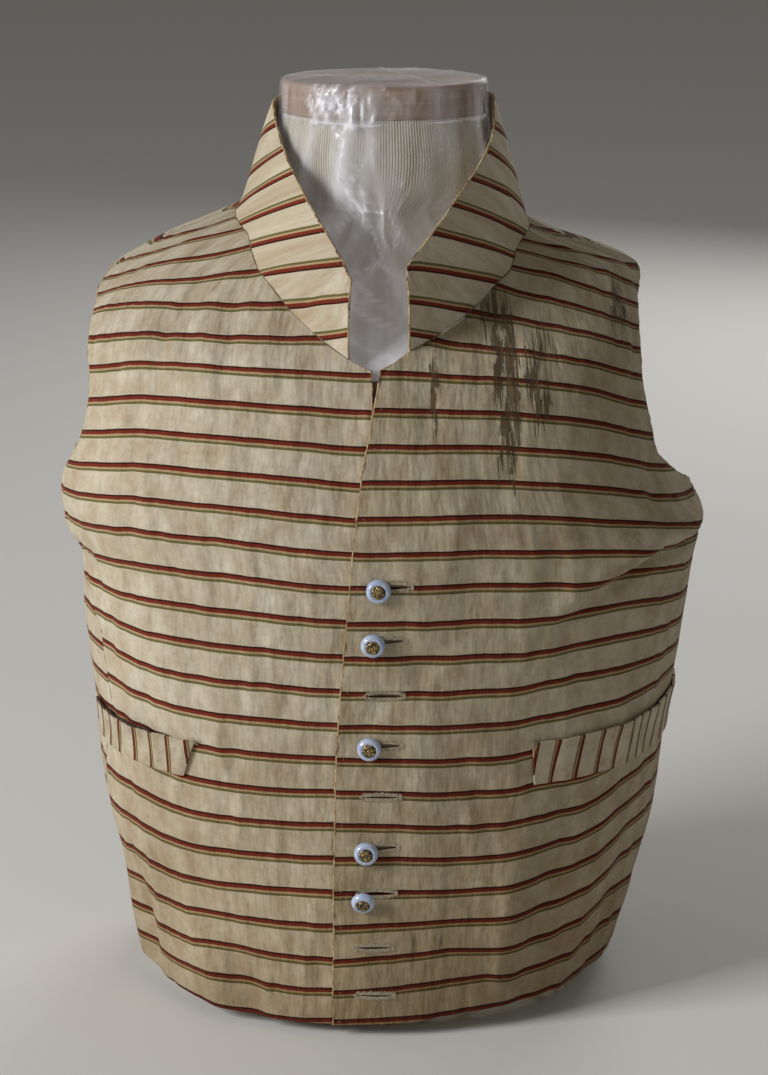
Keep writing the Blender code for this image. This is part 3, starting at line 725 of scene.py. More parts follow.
# How high each numbered stripe lies at these angles outwards from the middle of the front, in mm
STRIPE_PITCH = 20.6
STRIPE_ANGLES = (-8, 0, 12, 20, 28, 36, 44, 52, 60, 70, 84)
STRIPE_HEIGHTS = {
    "right": (
        (0, 10, 10, 8.4, 7.4, 8, 8.2, 9, 10, 11, 12, 13),
        (2, 48, 48, 47.4, 48, 49, 49.3, 47, 46, 48, 50, 51),
        (4, 90.5, 90.5, 90.3, 90, 89, 88, 87.3, 89, 91, 90, 89),
        (7, 154.5, 154.5, 152.8, 152.4, 152.6, 153, 155.5, 158.5, 160.5, 161.3, 162),
        (10, 215.5, 215.5, 216.4, 217.8, 218, 218.2, 219, 221.5, 225, 227, 228),
        (12, 258.5, 258.5, 259.8, 261.4, 262, 262.3, 262, 261.2, 260.5, 260, 259),
        (14, 299, 299, 301.4, 303.9, 305.2, 304.9, 304.8, 302.8, 300.5, 299, 297),
        (16, 339.5, 339.5, 342.7, 344.1, 344.5, 344.6, 343.6, 341, 337.8, 334, 330),
        (19, 401.3, 401.3, 402.9, 403.5, 404, 404, 403, 400, 396, 392, 386),
        (21, 436, 436, 435.5, 434, 433.3, 433.1, 432.7, 431.8, 429.8, 425, 418),
        (23, 476, 476, 474, 471, 466, 460.5, 456.5, 454.3, 451, 444.5, 438),
        (25, 520, 520, 518, 512, 503, 495, 488, 481, 477, 468, 462),
    ),
    "left": (
        (0, 9.2, 11, 12.8, 14.5, 15, 16.5, 18, 20, 22, 24, 26),
        (1, 27.5, 30.2, 33.8, 34.6, 32, 34.5, 38, 41.5, 44, 46, 47),
        (2, 47, 50.2, 53, 51.4, 51, 53.5, 59, 63, 65.5, 67, 68),
        (4, 89.8, 91, 90, 89.7, 91.5, 94.3, 98, 104, 108, 111, 113),
        (6, 133, 132.5, 130, 129.8, 132, 132.8, 135.5, 143.5, 145.5, 148, 150),
        (7, 153.8, 153.2, 151.2, 150.9, 153, 153, 154, 159, 163, 169, 172),
        (10, 215, 215, 214.7, 214.6, 216.9, 218.4, 218.3, 218, 217.6, 217, 216),
        (12, 258, 258.5, 258.3, 257.4, 256.6, 258.7, 259.6, 258, 255, 252, 249),
        (13, 279.3, 280.5, 280.6, 279.5, 277.4, 276.2, 277.4, 277.5, 275, 271, 268),
        (14, 299.5, 300, 300.2, 299, 297, 295, 292.5, 289.5, 287.5, 285, 282),
        (15, 320.3, 321, 321, 320, 317.5, 314, 310, 306, 301, 295.5, 292),
        (16, 340.5, 341.5, 341.4, 339.8, 337.4, 334.2, 330, 325, 319.5, 314, 309),
        (19, 402.2, 402.3, 400.2, 398.8, 395.7, 392.2, 387.6, 381.2, 375.5, 369, 360),
        (21, 436.5, 437, 433, 429.3, 426, 422.5, 418.5, 413.8, 408.5, 402, 394),
        (23, 478, 478, 472, 462, 453, 449, 443.5, 438.5, 433.5, 428, 420),
        (25, 518, 520, 510, 497, 485, 476, 469, 463, 458.5, 452, 446),
    ),
}
# Down the front in mm: each button's height (or the empty hole's), its x, whether it is buttoned,
# how far its face leans down in degrees, how wide its slit gapes, and how much higher the slit lies
HOLE_COLUMNS = ("height", "x", "buttoned", "lean", "gap", "rise")
HOLES = (
    (279.4, -3.2, True, 0, 2.6, 2.4),
    (246.7, -6.4, True, 3, 2.2, 1.8),
    (214.4, -7.6, False, 0, 2.3, 0),
    (182.1, -8.7, True, 0, 2.2, 1.8),
    (151.5, -9.6, False, 0, 1.1, 0),
    (116.7, -10.6, True, 2, 2.2, 3.0),
    (90, -12.2, True, 26, 1.8, 1.0),
    (57.4, -14.2, False, 0, 1.2, 0),
    (27, -13.4, False, 0, 0.8, 0),
)
SLIT_LENGTH = 20
SLIT_START = -2
SHANK_ROOM = 1.3
SLIT_TURNS = 20
SLIT_CUT = 16

chance = np.random.default_rng(1830)
wrinkles = [
    (
        chance.uniform(-270, 92), chance.uniform(0, 480), chance.normal(0, WRINKLE_LEAN),
        chance.uniform(*WRINKLE_LENGTH), chance.uniform(*WRINKLE_WIDTH),
        chance.uniform(*WRINKLE_DEPTH) * chance.choice((-1, 1)),
    )
    for _ in range(WRINKLES)
]


def body_point(angle, height):
    """Points of the plain body surface. The angle is in degrees from the middle of the front."""
    sizes = (body_size(name, height) for name in BODY_COLUMNS[1:])
    x, y = rounded(np.radians(angle), *sizes, SQUARENESS)
    return np.stack([x, y, height + 0 * x], axis=-1)


def body_normal(angle, height):
    turn, rise = 1.0, 1.5 * MM
    sideways = body_point(angle + turn, height) - body_point(angle - turn, height)
    upwards = body_point(angle, height + rise) - body_point(angle, height - rise)
    return unit(np.cross(sideways, upwards))


def angle_at(x, height):
    """The angle of the front surface's point that has this x at this height."""
    half = np.where(x < 0, body_size("right", height), body_size("left", height))
    share = np.clip(np.abs(x) / half, 0, 1)
    return np.sign(x) * np.degrees(np.arcsin(share ** (SQUARENESS / 2)))


def fold_depth(angle, height):
    """How far the folds and wrinkles move the cloth outwards at these places."""
    total = np.zeros(np.shape(angle))
    for middle, level, lean, length, width, depth in (*FOLDS, *wrinkles):
        beside = np.radians(angle - middle) * FOLD_RADIUS
        along, across = leaning(beside, height / MM - level, lean)
        total += depth * np.exp(-((along / length) ** 2) - (across / width) ** 2)
    return total * MM


def lap_lift(angle, height):
    """How far the left front stands off to clear the right front under it."""
    under_edge = table_read(FRONT_EDGE_COLUMNS, FRONT_EDGE, "right", height / MM)
    reach = (body_point(angle, height)[..., 0] / MM - under_edge - LAP_COVER) / LAP_FADE
    fade = 1 - np.clip(reach, 0, 1)
    return (CLOTH + LAP_GAP) * MM * fade * fade * (3 - 2 * fade)


def no_lift(angle, height):
    return np.zeros(np.shape(angle))


def path_lengths(points):
    """How far along a line each of its points lies."""
    return np.concatenate([[0], np.cumsum(np.linalg.norm(np.diff(points, axis=0), axis=-1))])


def along_line(points, steps):
    """Evenly spaced points along a smooth curve through the given (angle, height) points."""
    points = np.array(points, float)
    travelled = path_lengths(points * (math.radians(FOLD_RADIUS * MM), 1))
    places = np.linspace(0, travelled[-1], steps + 1)
    return np.stack([smooth_read(travelled, points[:, k], places) for k in range(2)], axis=-1)


def straight(start, end, steps):
    return np.linspace(np.array(start, float), np.array(end, float), steps + 1)


def joined(*lines):
    """Lines end to end, with each shared point kept once."""
    return np.concatenate([lines[0]] + [line[1:] for line in lines[1:]])


def hem_height(angle):
    return table_read(HEM_COLUMNS, HEM, "height", angle) * MM


def front_edge(side):
    """The front's edge from the hem to the neck, as (angle, height) points."""
    lower = np.linspace(FRONT_EDGE[0][0], UNDERARM, SIDE_STEPS + 1)
    upper = np.linspace(UNDERARM, FRONT_EDGE[-1][0], ARMHOLE_STEPS + 1)
    heights = np.concatenate([lower, upper[1:]]) * MM
    x = table_read(FRONT_EDGE_COLUMNS, FRONT_EDGE, side, heights / MM) * MM
    return np.stack([angle_at(x, heights), heights], axis=-1)


def neckline(side):
    """The front's neckline from its top corner to the shoulder, as (angle, height) points."""
    x = column(NECKLINE_COLUMNS, NECKLINE[side], "x") * MM
    heights = column(NECKLINE_COLUMNS, NECKLINE[side], "height") * MM
    angles = angle_at(x, heights)
    angles[-1] = 90 * np.sign(x[-1])
    curve = along_line(np.stack([angles, heights], axis=-1), NECK_STEPS)
    return joined(straight(front_edge(side)[-1], curve[0], NECK_END_STEPS), curve)


def side_and_armhole(side, panel):
    """The outer edge of a panel: the side seam, then the armhole up to the shoulder point."""
    sign = -1 if side == "right" else 1
    corner = table_read(SIDE_SEAM_COLUMNS, SIDE_SEAM, side, 0) * sign
    heights = np.linspace(hem_height(corner), UNDERARM * MM, SIDE_STEPS + 1)
    angles = table_read(SIDE_SEAM_COLUMNS, SIDE_SEAM, side, heights / MM) * sign
    seam = np.stack([angles, heights], axis=-1)
    angles = column(ARMHOLE_COLUMNS, ARMHOLE, panel) * sign
    heights = column(ARMHOLE_COLUMNS, ARMHOLE, "height") * MM
    angles[0] = seam[-1][0]
    steps = ARMHOLE_STEPS + NECK_END_STEPS + NECK_STEPS
    return joined(seam, along_line(np.stack([angles, heights], axis=-1), steps))


def patch(inner, outer, foot, head):
    """A grid of places between four edges that share their corners: rows go from foot to head."""
    rise = np.linspace(0, 1, len(inner))[:, None, None]
    run = np.linspace(0, 1, len(foot))[None, :, None]
    between_sides = (1 - run) * inner[:, None] + run * outer[:, None]
    foot_bend = foot - ((1 - run) * foot[0] + run * foot[-1])
    head_bend = head - ((1 - run) * head[0] + run * head[-1])
    return between_sides + (1 - rise) * foot_bend + rise**HEAD_REACH * head_bend


def front_places(side):
    inner = joined(front_edge(side), neckline(side))
    outer = side_and_armhole(side, f"front_{side}")
    foot = straight(inner[0], outer[0], FRONT_STEPS)
    foot[1:-1, 1] = hem_height(foot[1:-1, 0])
    return patch(inner, outer, foot, straight(inner[-1], outer[-1], FRONT_STEPS))


def cloth_face(places, lift):
    """The outer face of a cut piece, as a grid of points."""
    angle, height = places[..., 0], places[..., 1]
    outwards = fold_depth(angle, height) + lift(angle, height)
    return body_point(angle, height) + body_normal(angle, height) * outwards[..., None]


def trim(grid, *edges):
    """Takes half a seam's gap off the named edges of a piece."""
    turned = grid.transpose(1, 0, 2)
    for edge in edges:
        lines, end, inside = {
            "first_column": (turned, 0, 1),
            "last_column": (turned, -1, -2),
            "head": (grid, -1, -2),
        }[edge]
        lines[end] += unit(lines[inside] - lines[end]) * SEAM_GAP / 2 * MM
    return grid


def round_body(angle):
    """How far round the cloth lies from the middle of the front, in metres."""
    turns = np.arange(-275, 96, 0.5)
    ring = body_point(turns, np.full(turns.shape, CLOTH_LEVEL * MM))
    travelled = path_lengths(ring)
    return np.interp(angle, turns, travelled) - np.interp(0, turns, travelled)


def stripe_places(side, places):
    """Where each point lies on the cloth: round the body, and up from the lowest stripe."""
    angle, height = places[..., 0], places[..., 1] / MM
    rows = STRIPE_HEIGHTS[side]
    outwards = -angle if side == "right" else angle
    levels = [smooth_read(STRIPE_ANGLES, row[1:], outwards) for row in rows]
    number = rows[0][0] + np.minimum(height - levels[0], 0) / STRIPE_PITCH
    for k in range(len(rows) - 1):
        share = np.clip((height - levels[k]) / (levels[k + 1] - levels[k]), 0, 1)
        number = number + share * (rows[k + 1][0] - rows[k][0])
    number = number + np.maximum(height - levels[-1], 0) / STRIPE_PITCH
    return np.stack([round_body(angle), number * STRIPE_PITCH * MM], axis=-1)


def thicken(piece, thickness, paints):
    """Turns a sheet into a wall that goes inwards from it, with a lining on its inner face."""
    wall = piece.modifiers.new("cloth", "SOLIDIFY")
    wall.thickness = thickness * MM
    wall.offset = -1
    wall.use_even_offset = True
    wall.material_offset = len(paints) - 1
    for paint in paints:
        piece.data.materials.append(paint)
    pick(piece)
    bpy.ops.object.modifier_apply(modifier=wall.name)
    return finish_mesh(piece, [], 50)


# The woven stripes, from the top of one stripe down, as (how far below its middle in mm, colour)
STRIPE_BANDS = (
    (-2.3, (0.042, 0.007, 0.004)),
    (-1.2, (0.185, 0.026, 0.011)),
    (0.80, (0.47, 0.335, 0.19)),
    (2.0, (0.150, 0.140, 0.050)),
    (3.5, None),
)
# How soft a stripe's edges are, in mm, and how far the pattern is moved up, in stripe repeats
STRIPE_SOFT = 0.12
STRIPE_SHIFT = 0.04
CREAM = (0.59, 0.525, 0.41)
# The pale cream stands partly for a paler weave and partly for painted highlight.
CREAM_PALE_LIT = (0.76, 0.715, 0.61)
CREAM_TAN = (0.41, 0.285, 0.165)
STAIN = (0.050, 0.043, 0.028)
STAIN_BROWN = (0.115, 0.060, 0.020)
# Where old stains soaked into the left chest: the x and height of the middle, half the width and
# half the height, and how dark, in mm
STAINS = (
    (29, 391, 2.8, 28, 1.0),
    (59, 434, 4, 11, 0.8),
    (65, 430, 3.5, 16, 0.9),
    (71, 424, 3, 17, 0.8),
    (66, 405, 3, 22, 1.0),
    (73, 400, 4.5, 31, 1.2),
    (77, 385, 3.2, 26, 1.1),
    (71, 374, 3.6, 22, 1.1),
    (67, 358, 2.2, 15, 0.9),
    (75, 355, 2, 13, 0.8),
    (84, 395, 3.2, 18, 1.0),
    (89, 388, 2.8, 20, 1.0),
    (94, 384, 2.4, 13, 0.8),
    (92, 414, 4, 7, 0.8),
    (97, 411, 4, 5, 0.7),
    (87, 408, 3, 11, 0.8),
    (50, 440, 4, 9, 0.8),
    (137, 432, 3.2, 11, 1.0),
    (141, 427, 3, 10, 0.9),
    (17, 62, 4, 5, 0.4),
    (32, 58, 4, 4, 0.35),
)


def striped_cotton(name, stained=False, band=1.0, tint=(1.0, 1.0, 1.0)):
    """Aged cream cotton with its woven stripes, read from the piece's own cloth map. The tint,
    where given, darkens the whole piece as painted shade.
    """
    paint, shader = new_paint(name, 0.9, Sheen_Weight=0.06, Specular_IOR_Level=0.15)
    flat = node(paint, "UVMap", uv_map="cloth")
    slub = streaks(paint, flat, 55, 900, roughness=0.6)
    sway = streaks(paint, flat, 42, 16)
    up = node(paint, "SeparateXYZ", {0: flat}, output=1)
    up = sums(paint, "MULTIPLY_ADD", slub, 0.34 * MM, up)
    up = sums(paint, "MULTIPLY_ADD", sway, 1.3 * MM, up)
    repeats = sums(paint, "MULTIPLY_ADD", up, 1 / (STRIPE_PITCH * MM), 0.5 - STRIPE_SHIFT)
    repeat = sums(paint, "FRACT", repeats)
    stops = []
    colours = [CREAM] + [colour for _, colour in STRIPE_BANDS[:-1]] + [CREAM]
    for k, (below, _) in reversed(list(enumerate(STRIPE_BANDS))):
        place = 0.5 - below * band / STRIPE_PITCH
        stops.append((place - STRIPE_SOFT / STRIPE_PITCH, colours[k + 1]))
        stops.append((place + STRIPE_SOFT / STRIPE_PITCH, colours[k]))
    woven = ramp(paint, repeat, *stops)
    # A stretched cloud mottles the cream: tan patches, partly foxing and partly painted shade of
    # small wrinkles, and pale patches, partly a paler weave and partly painted highlight.
    cloud = streaks(paint, flat, 66, 42, 4, 0.6)
    foxed_and_shaded = ramp(paint, cloud, (0.48, 0.0), (0.72, 0.62))
    pale = ramp(paint, cloud, (0.28, 0.65), (0.48, 0.0))
    colour = blend(paint, foxed_and_shaded, woven, CREAM_TAN)
    colour = blend(paint, pale, colour, CREAM_PALE_LIT)
    on_stripe = ramp(paint, repeat, (0.28, 0.0), (0.30, 1.0), (0.64, 1.0), (0.66, 0.0))
    colour = blend(paint, on_stripe, colour, woven)
    drift = streaks(paint, flat, 16, 9, 4)
    drifted = ramp(paint, drift, (0.3, (0.84, 0.80, 0.74)), (0.68, (1.04, 1.03, 1.0)))
    fleck = streaks(paint, flat, 230, 260, 3, 0.7)
    flecked = ramp(paint, fleck, (0.3, (0.76, 0.73, 0.70)), (0.55, (1.0, 1.0, 1.0)))
    colour = tinted(paint, tinted(paint, colour, drifted), flecked, 0.5)
    # The cloth grows darker towards the bottom, below about 240 mm over the floor, with a wavering
    # edge.
    low = node(paint, "SeparateXYZ", {0: node(paint, "TexCoord", output=3)}, output=2)
    low = sums(paint, "MULTIPLY_ADD", drift, 0.08, low)
    darker_towards_bottom = ramp(
        paint, low, (0.04, (0.61, 0.54, 0.44)), (0.11, (0.82, 0.77, 0.69)), (0.24, (1.0, 1.0, 1.0)),
    )
    colour = tinted(paint, tinted(paint, colour, darker_towards_bottom), tint)
    if stained:
        colour = with_stains(paint, colour, flat)
    feed(paint, shader.inputs["Base Color"], colour)
    weave = {"Vector": flat, "Scale": 560, "Distortion": 2.5, "Detail": 1.0, "Detail Scale": 2.0}
    threads = [node(paint, "TexWave", weave, output=1, bands_direction=way) for way in "XY"]
    crumple = streaks(paint, flat, 120, 80, roughness=0.5)
    ripple = streaks(paint, flat, 62, 20, roughness=0.5)
    bumped(paint, shader, ripple, 6.5 * MM, 0.65)
    bumped(paint, shader, crumple, 1.9 * MM, 0.5)
    bumped(paint, shader, sums(paint, "ADD", *threads), 0.10 * MM, 0.6)
    return paint


def with_stains(paint, colour, flat):
    """Lays dark streaky stains over a colour, at their own places on the garment."""
    ragged = streaks(paint, flat, 820, 11, roughness=0.7)
    wander = streaks(paint, flat, 130, 70)
    push = node(paint, "CombineXYZ", {
        0: sums(paint, "MULTIPLY_ADD", wander, 11 * MM, -5.5 * MM),
        2: sums(paint, "MULTIPLY_ADD", ragged, 95 * MM, -47.5 * MM),
    })
    place = node(paint, "TexCoord", output=3)
    place = node(paint, "VectorMath", {0: place, 1: push}, operation="ADD")
    soaked = 0.0
    for x, height, half_width, half_height, dark in STAINS:
        size = (1 / (half_width * MM), 0, 1 / (half_height * MM))
        shift = (-(x * MM + CENTRE[0]) * size[0], 0, -height * MM * size[2])
        spot = {"Vector": stretched(paint, place, size, shift)}
        spot = node(paint, "TexGradient", spot, output=1, gradient_type="SPHERICAL")
        soaked = sums(paint, "MAXIMUM", sums(paint, "MULTIPLY", spot, dark), soaked)
    streak = streaks(paint, flat, 640, 55, 4, 0.7)
    patchy = streaks(paint, flat, 150, 60)
    wet = sums(paint, "MULTIPLY", soaked, sums(paint, "MULTIPLY_ADD", streak, 6.2, -1.85))
    wet = sums(paint, "MULTIPLY", wet, sums(paint, "MULTIPLY_ADD", patchy, 1.4, 0.4))
    return blend(
        paint, ramp(paint, wet, (0.05, 0.0), (0.42, 0.86)), colour,
        ramp(paint, wet, (0.5, STAIN), (0.95, STAIN_BROWN)),
    )


lining, lining_shader = new_paint("cotton_lining", 0.9, Sheen_Weight=0.1)
lining_place = node(lining, "UVMap", uv_map="cloth")
lining_mottle = streaks(lining, lining_place, 40, 30, 4)
feed(
    lining, lining_shader.inputs["Base Color"],
    ramp(lining, lining_mottle, (0.3, (0.42, 0.34, 0.23)), (0.7, (0.56, 0.47, 0.33))),
)
lining_weave = {"Vector": lining_place, "Scale": 480}
lining_weave = node(lining, "TexWave", lining_weave, output=1, bands_direction="DIAGONAL")
bumped(lining, lining_shader, lining_weave, 0.1 * MM, 0.5)

front_cotton = striped_cotton("striped_cotton")
# The left front's copy is tinted darker and greener all over: painted shade on the side that faces
# away from the key lamp. Its stains are its own.
stained_shaded_cotton = striped_cotton("stained_shaded_cotton", stained=True, tint=(0.84, 0.82, 0.77))

right_places = front_places("right")
right_face = cloth_face(right_places, no_lift)
left_places = front_places("left")
left_face = cloth_face(left_places, lap_lift)
front_right = bent_grid(
    "right_front", trim(right_face.copy(), "last_column", "head"),
    stripe_places("right", right_places), turned=True,
)
thicken(front_right, CLOTH, [front_cotton, lining])
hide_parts("front_right")

front_left = bent_grid(
    "left_front", trim(left_face.copy(), "last_column", "head"),
    stripe_places("left", left_places),
)
thicken(front_left, CLOTH, [stained_shaded_cotton, lining])


def front_point(x, height, lift=no_lift):
    """The point and the outward direction of the front's face at this x and height."""
    angle, height = np.array(angle_at(x, height)), np.array(height)
    normal = body_normal(angle, height)
    outwards = fold_depth(angle, height) + lift(angle, height)
    return body_point(angle, height) + normal * outwards[..., None], normal


def cut_away(piece, cutter):
    """Cuts one piece by another, and deletes the cutter."""
    cut = piece.modifiers.new("cut", "BOOLEAN")
    cut.operation = "DIFFERENCE"
    cut.solver = "EXACT"
    cut.object = cutter
    pick(piece)
    bpy.ops.object.modifier_apply(modifier=cut.name)
    bpy.data.objects.remove(cutter, do_unlink=True)


holes = [dict(zip(HOLE_COLUMNS, row)) for row in HOLES]
for hole in holes:
    openings = [(
        hole["x"] + SLIT_START + SLIT_LENGTH / 2, hole["height"] + hole["rise"],
        SLIT_LENGTH / 2, hole["gap"] / 2,
    )]
    if hole["buttoned"]:
        middle = hole["height"] + hole["rise"] / 2
        openings.append((hole["x"], middle, SHANK_ROOM, SHANK_ROOM + hole["rise"] / 2))
    for x, height, half_width, half_height in openings:
        point, _ = front_point(x * MM, height * MM)
        bpy.ops.object.select_all(action="DESELECT")
        bpy.ops.mesh.primitive_cylinder_add(
            vertices=SLIT_TURNS, radius=1, depth=SLIT_CUT * MM, location=point + CENTRE,
            rotation=(math.pi / 2, 0, 0), scale=(half_width * MM, half_height * MM, 1),
        )
        cut_away(front_left, bpy.context.object)
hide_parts("front_left")


# The buttonholes' stitching.
# Each slit is overcast by hand with pale linen thread: a fan of stitches at the edge's end, close
# upright stitches along both lips, a knotted ridge on the lips, and a bar at the inner end.
STITCH_SIZE = (0.30, 0.24, 1.25)
KNOT_SIZE = (0.42, 0.34, 0.36)
STITCHES_ALONG = 34
STITCHES_ROUND = 7
LIP = 0.75
STITCH_MIDDLE = 1.75
BAR_STITCHES = 5


def stitch_template():
    """The stitch that is copied for all the sewing: a small ball, stretched in each copy."""
    bpy.ops.object.select_all(action="DESELECT")
    bpy.ops.mesh.primitive_uv_sphere_add(segments=6, ring_count=5, radius=MM, location=(0, 0, 0))
    made = bpy.context.object
    made.name = "stitch"
    return made


def sew(name, template, stitches, paint):
    """Copies the stitch to every (point, right, up, out, size) and joins the copies."""
    copies = []
    for point, right, up, out, size in stitches:
        copy = template.copy()
        copy.data = template.data.copy()
        bpy.context.scene.collection.objects.link(copy)
        frame_of = np.eye(4)
        frame_of[:3, 0], frame_of[:3, 1], frame_of[:3, 2] = (
            right * size[0], out * size[1], up * size[2],
        )
        frame_of[:3, 3] = point + CENTRE
        copy.data.transform(Matrix(frame_of))
        copies.append(copy)
    bpy.ops.object.select_all(action="DESELECT")
    for copy in copies:
        copy.select_set(True)
    bpy.context.view_layer.objects.active = copies[0]
    bpy.ops.object.join()
    piece = bpy.context.object
    piece.name = piece.data.name = name
    edit(piece, (bpy.ops.mesh.normals_make_consistent, {"inside": False}))
    finish_mesh(piece, [paint], 60)
    return piece


def turned_by(right, up, angle):
    """Turns the two directions of a stitch in the plane of the cloth."""
    cos, sin = math.cos(angle), math.sin(angle)
    return right * cos + up * sin, up * cos - right * sin


def mottled(name, scale, stops, bump=0.0, detail=3, roughness=0.55, **sockets):
    """A dull paint, mottled all through, for thread, for a worn edge and for dark lines of painted
    shade. The bump is in mm.
    """
    paint, shader = new_paint(name, 0.9, **sockets)
    shade = noise(paint, node(paint, "TexCoord", output=3), scale, detail, roughness)
    feed(paint, shader.inputs["Base Color"], ramp(paint, shade, *stops))
    if bump:
        bumped(paint, shader, shade, bump * MM, 0.8)
    return paint


thread = mottled(
    "linen_thread", 700, ((0.3, (0.25, 0.20, 0.125)), (0.7, (0.52, 0.45, 0.33))), bump=0.12,
    Roughness=0.85, Sheen_Weight=0.1,
)

stitch = stitch_template()
sewing_chance = np.random.default_rng(12)
for count, hole in enumerate(holes, start=1):
    start = hole["x"] + SLIT_START
    gap = hole["gap"] / 2
    laid = []
    for k in range(STITCHES_ALONG):
        share = (k + 0.5) / STITCHES_ALONG
        lip = gap * math.sin(math.pi * share) ** 0.6
        x = start + SLIT_LENGTH * share
        for side in (-1, 1):
            away = lip + STITCH_MIDDLE - LIP / 2 + sewing_chance.normal(0, 0.22)
            laid.append((x, side * away, sewing_chance.normal(0, 0.2), STITCH_SIZE))
            laid.append((x + 0.3, side * (lip + 0.45), 0, KNOT_SIZE))
    for k in range(STITCHES_ROUND):
        turn = math.pi * (k + 0.5) / STITCHES_ROUND
        beside, above = -math.sin(turn) * STITCH_MIDDLE, math.cos(turn) * STITCH_MIDDLE
        laid.append((start + beside, above, -turn, STITCH_SIZE))
    for k in range(BAR_STITCHES):
        size = (0.26, 0.3, 2.5 - 0.1 * k)
        laid.append((start + SLIT_LENGTH + 0.7 + 0.38 * k, sewing_chance.normal(0, 0.1), 0, size))
    x, above = (np.array([one[k] for one in laid]) for k in (0, 1))
    points, outs = front_point(x * MM, (hole["height"] + hole["rise"] + above) * MM, lap_lift)
    stitches = []
    for point, out, (_, _, turn, size) in zip(points, outs, laid):
        right = unit(np.cross(out, (0, 0, 1)))
        right, up = turned_by(right, np.cross(out, right), turn)
        stitches.append((point + out * 0.12 * MM, right, up, out, size))
    sew(f"buttonhole_{count}", stitch, stitches, thread)


# The back.
# One cut piece of the same striped cotton, sewn to the fronts down the sides and over the
# shoulders. Its armholes are deep, and its upper edge carries the collar.
SHOULDER_STEPS = 6 * FINE
BACK_NECK_STEPS = 10 * FINE
BACK_NECK_HEIGHT = 490
# One stripe's number and height on the back, and how far apart its stripes lie there
BACK_STRIPE = (12, 262.5, 20)

full_turn = np.array([360, 0])
first = side_and_armhole("right", "back")
last = side_and_armhole("left", "back") - full_turn
foot = straight(first[0], last[0], 2 * SHOULDER_STEPS + BACK_NECK_STEPS)
foot[1:-1, 1] = hem_height(foot[1:-1, 0])
back_middle = (-180, BACK_NECK_HEIGHT * MM)
right_neck, left_neck = neckline("right")[-1], neckline("left")[-1] - full_turn
head = joined(
    straight(first[-1], right_neck, SHOULDER_STEPS),
    along_line([right_neck, back_middle], BACK_NECK_STEPS // 2),
    along_line([back_middle, left_neck], BACK_NECK_STEPS // 2),
    straight(left_neck, last[-1], SHOULDER_STEPS),
)
back_places = patch(first, last, foot, head)
back_face = cloth_face(back_places, no_lift)
number, level, pitch = BACK_STRIPE
up = (number + (back_places[..., 1] / MM - level) / pitch) * STRIPE_PITCH * MM
back = bent_grid(
    "back_panel", trim(back_face.copy(), "first_column", "last_column", "head"),
    np.stack([round_body(back_places[..., 0]), up], axis=-1), turned=True,
)
thicken(back, CLOTH, [front_cotton, lining])
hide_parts("back")


# The collar.
# A standing band on the neckline, open in front, cut in two halves that are seamed behind, so that
# its stripes mirror each other. Its edges are turned in and a little frayed.
COLLAR_STEPS = 4 * FINE
COLLAR_BELLY = 1.5
COLLAR_SEAM = 13
# The upper edge in mm, by the step of the lower edge, from the right end to the left end
COLLAR_TOP_COLUMNS = ("step", "x", "y", "height")
COLLAR_TOP = (
    (0, -19, -106, 456),
    (1.4, -26, -97, 469),
    (3, -37, -82, 485),
    (5, -50, -58, 504),
    (6.7, -61, -31, 525),
    (8, -67, -5, 545),
    (10.5, -53, 37, 548),
    (13, 0, 55, 547),
    (15.5, 52, 37, 548),
    (18, 66, -4, 549),
    (19.3, 65, -30, 532),
    (21, 56, -55, 515),
    (22.5, 44, -77, 501),
    (24, 30, -95, 484),
    (26, 13.2, -107, 464),
)
# At each step of the lower edge, the number of the stripe on the lower and on the upper edge. The
# stripes are counted upwards from each end, and the two halves meet behind.
COLLAR_STRIPE_COLUMNS = ("step", "low", "high")
COLLAR_STRIPES = (
    (0, -0.75, 1.5), (1, 0.65, 2.0), (2, 1.9, 2.56), (3, 3.0, 3.17), (4, 3.7, 3.8),
    (5, 4.25, 4.5), (6, 4.75, 5.48), (7, 5.2, 6.7), (8, 5.7, 7.9), (10.5, 8.2, 10),
    (13, 11, 12.7), (15.5, 8.2, 10.2), (18, 5.7, 8.1), (19, 5.0, 7.15), (20, 4.5, 6.2),
    (21, 4.05, 5.45), (22, 3.6, 4.75), (23, 3.0, 3.93), (24, 2.0, 3.1), (25, 0.67, 2.52),
    (26, -0.58, 2.0),
)


def neck_edge(line, inside):
    """Points just off an edge of a piece, a seam's gap away from it in its own plane."""
    return line + unit(line - inside) * SEAM_GAP * MM


first_row = SIDE_STEPS + ARMHOLE_STEPS + NECK_END_STEPS
right_edge, left_edge = (
    neck_edge(grid[first_row:, 0], grid[first_row:, 1]) for grid in (right_face, left_face)
)
neck = slice(SHOULDER_STEPS, SHOULDER_STEPS + BACK_NECK_STEPS + 1)
behind = neck_edge(back_face[-1, neck], back_face[-2, neck])
collar_foot = np.concatenate([right_edge[:-1], behind, left_edge[-2::-1]])
step = np.arange(len(collar_foot)) / FINE
collar_head = MM * np.stack(
    [table_read(COLLAR_TOP_COLUMNS, COLLAR_TOP, name, step) for name in COLLAR_TOP_COLUMNS[1:]],
    axis=-1,
)
rise = np.linspace(0, 1, COLLAR_STEPS + 1)[:, None, None]
collar_face = (1 - rise) * collar_foot + rise * collar_head
normal = unit(np.cross(np.gradient(collar_face, axis=0), np.gradient(collar_face, axis=1)))
collar_face += normal * COLLAR_BELLY * MM * 4 * rise * (1 - rise)
seam_row = [row[0] for row in COLLAR_STRIPES].index(COLLAR_SEAM)
right_half, left_half = COLLAR_STRIPES[: seam_row + 1], COLLAR_STRIPES[seam_row:]
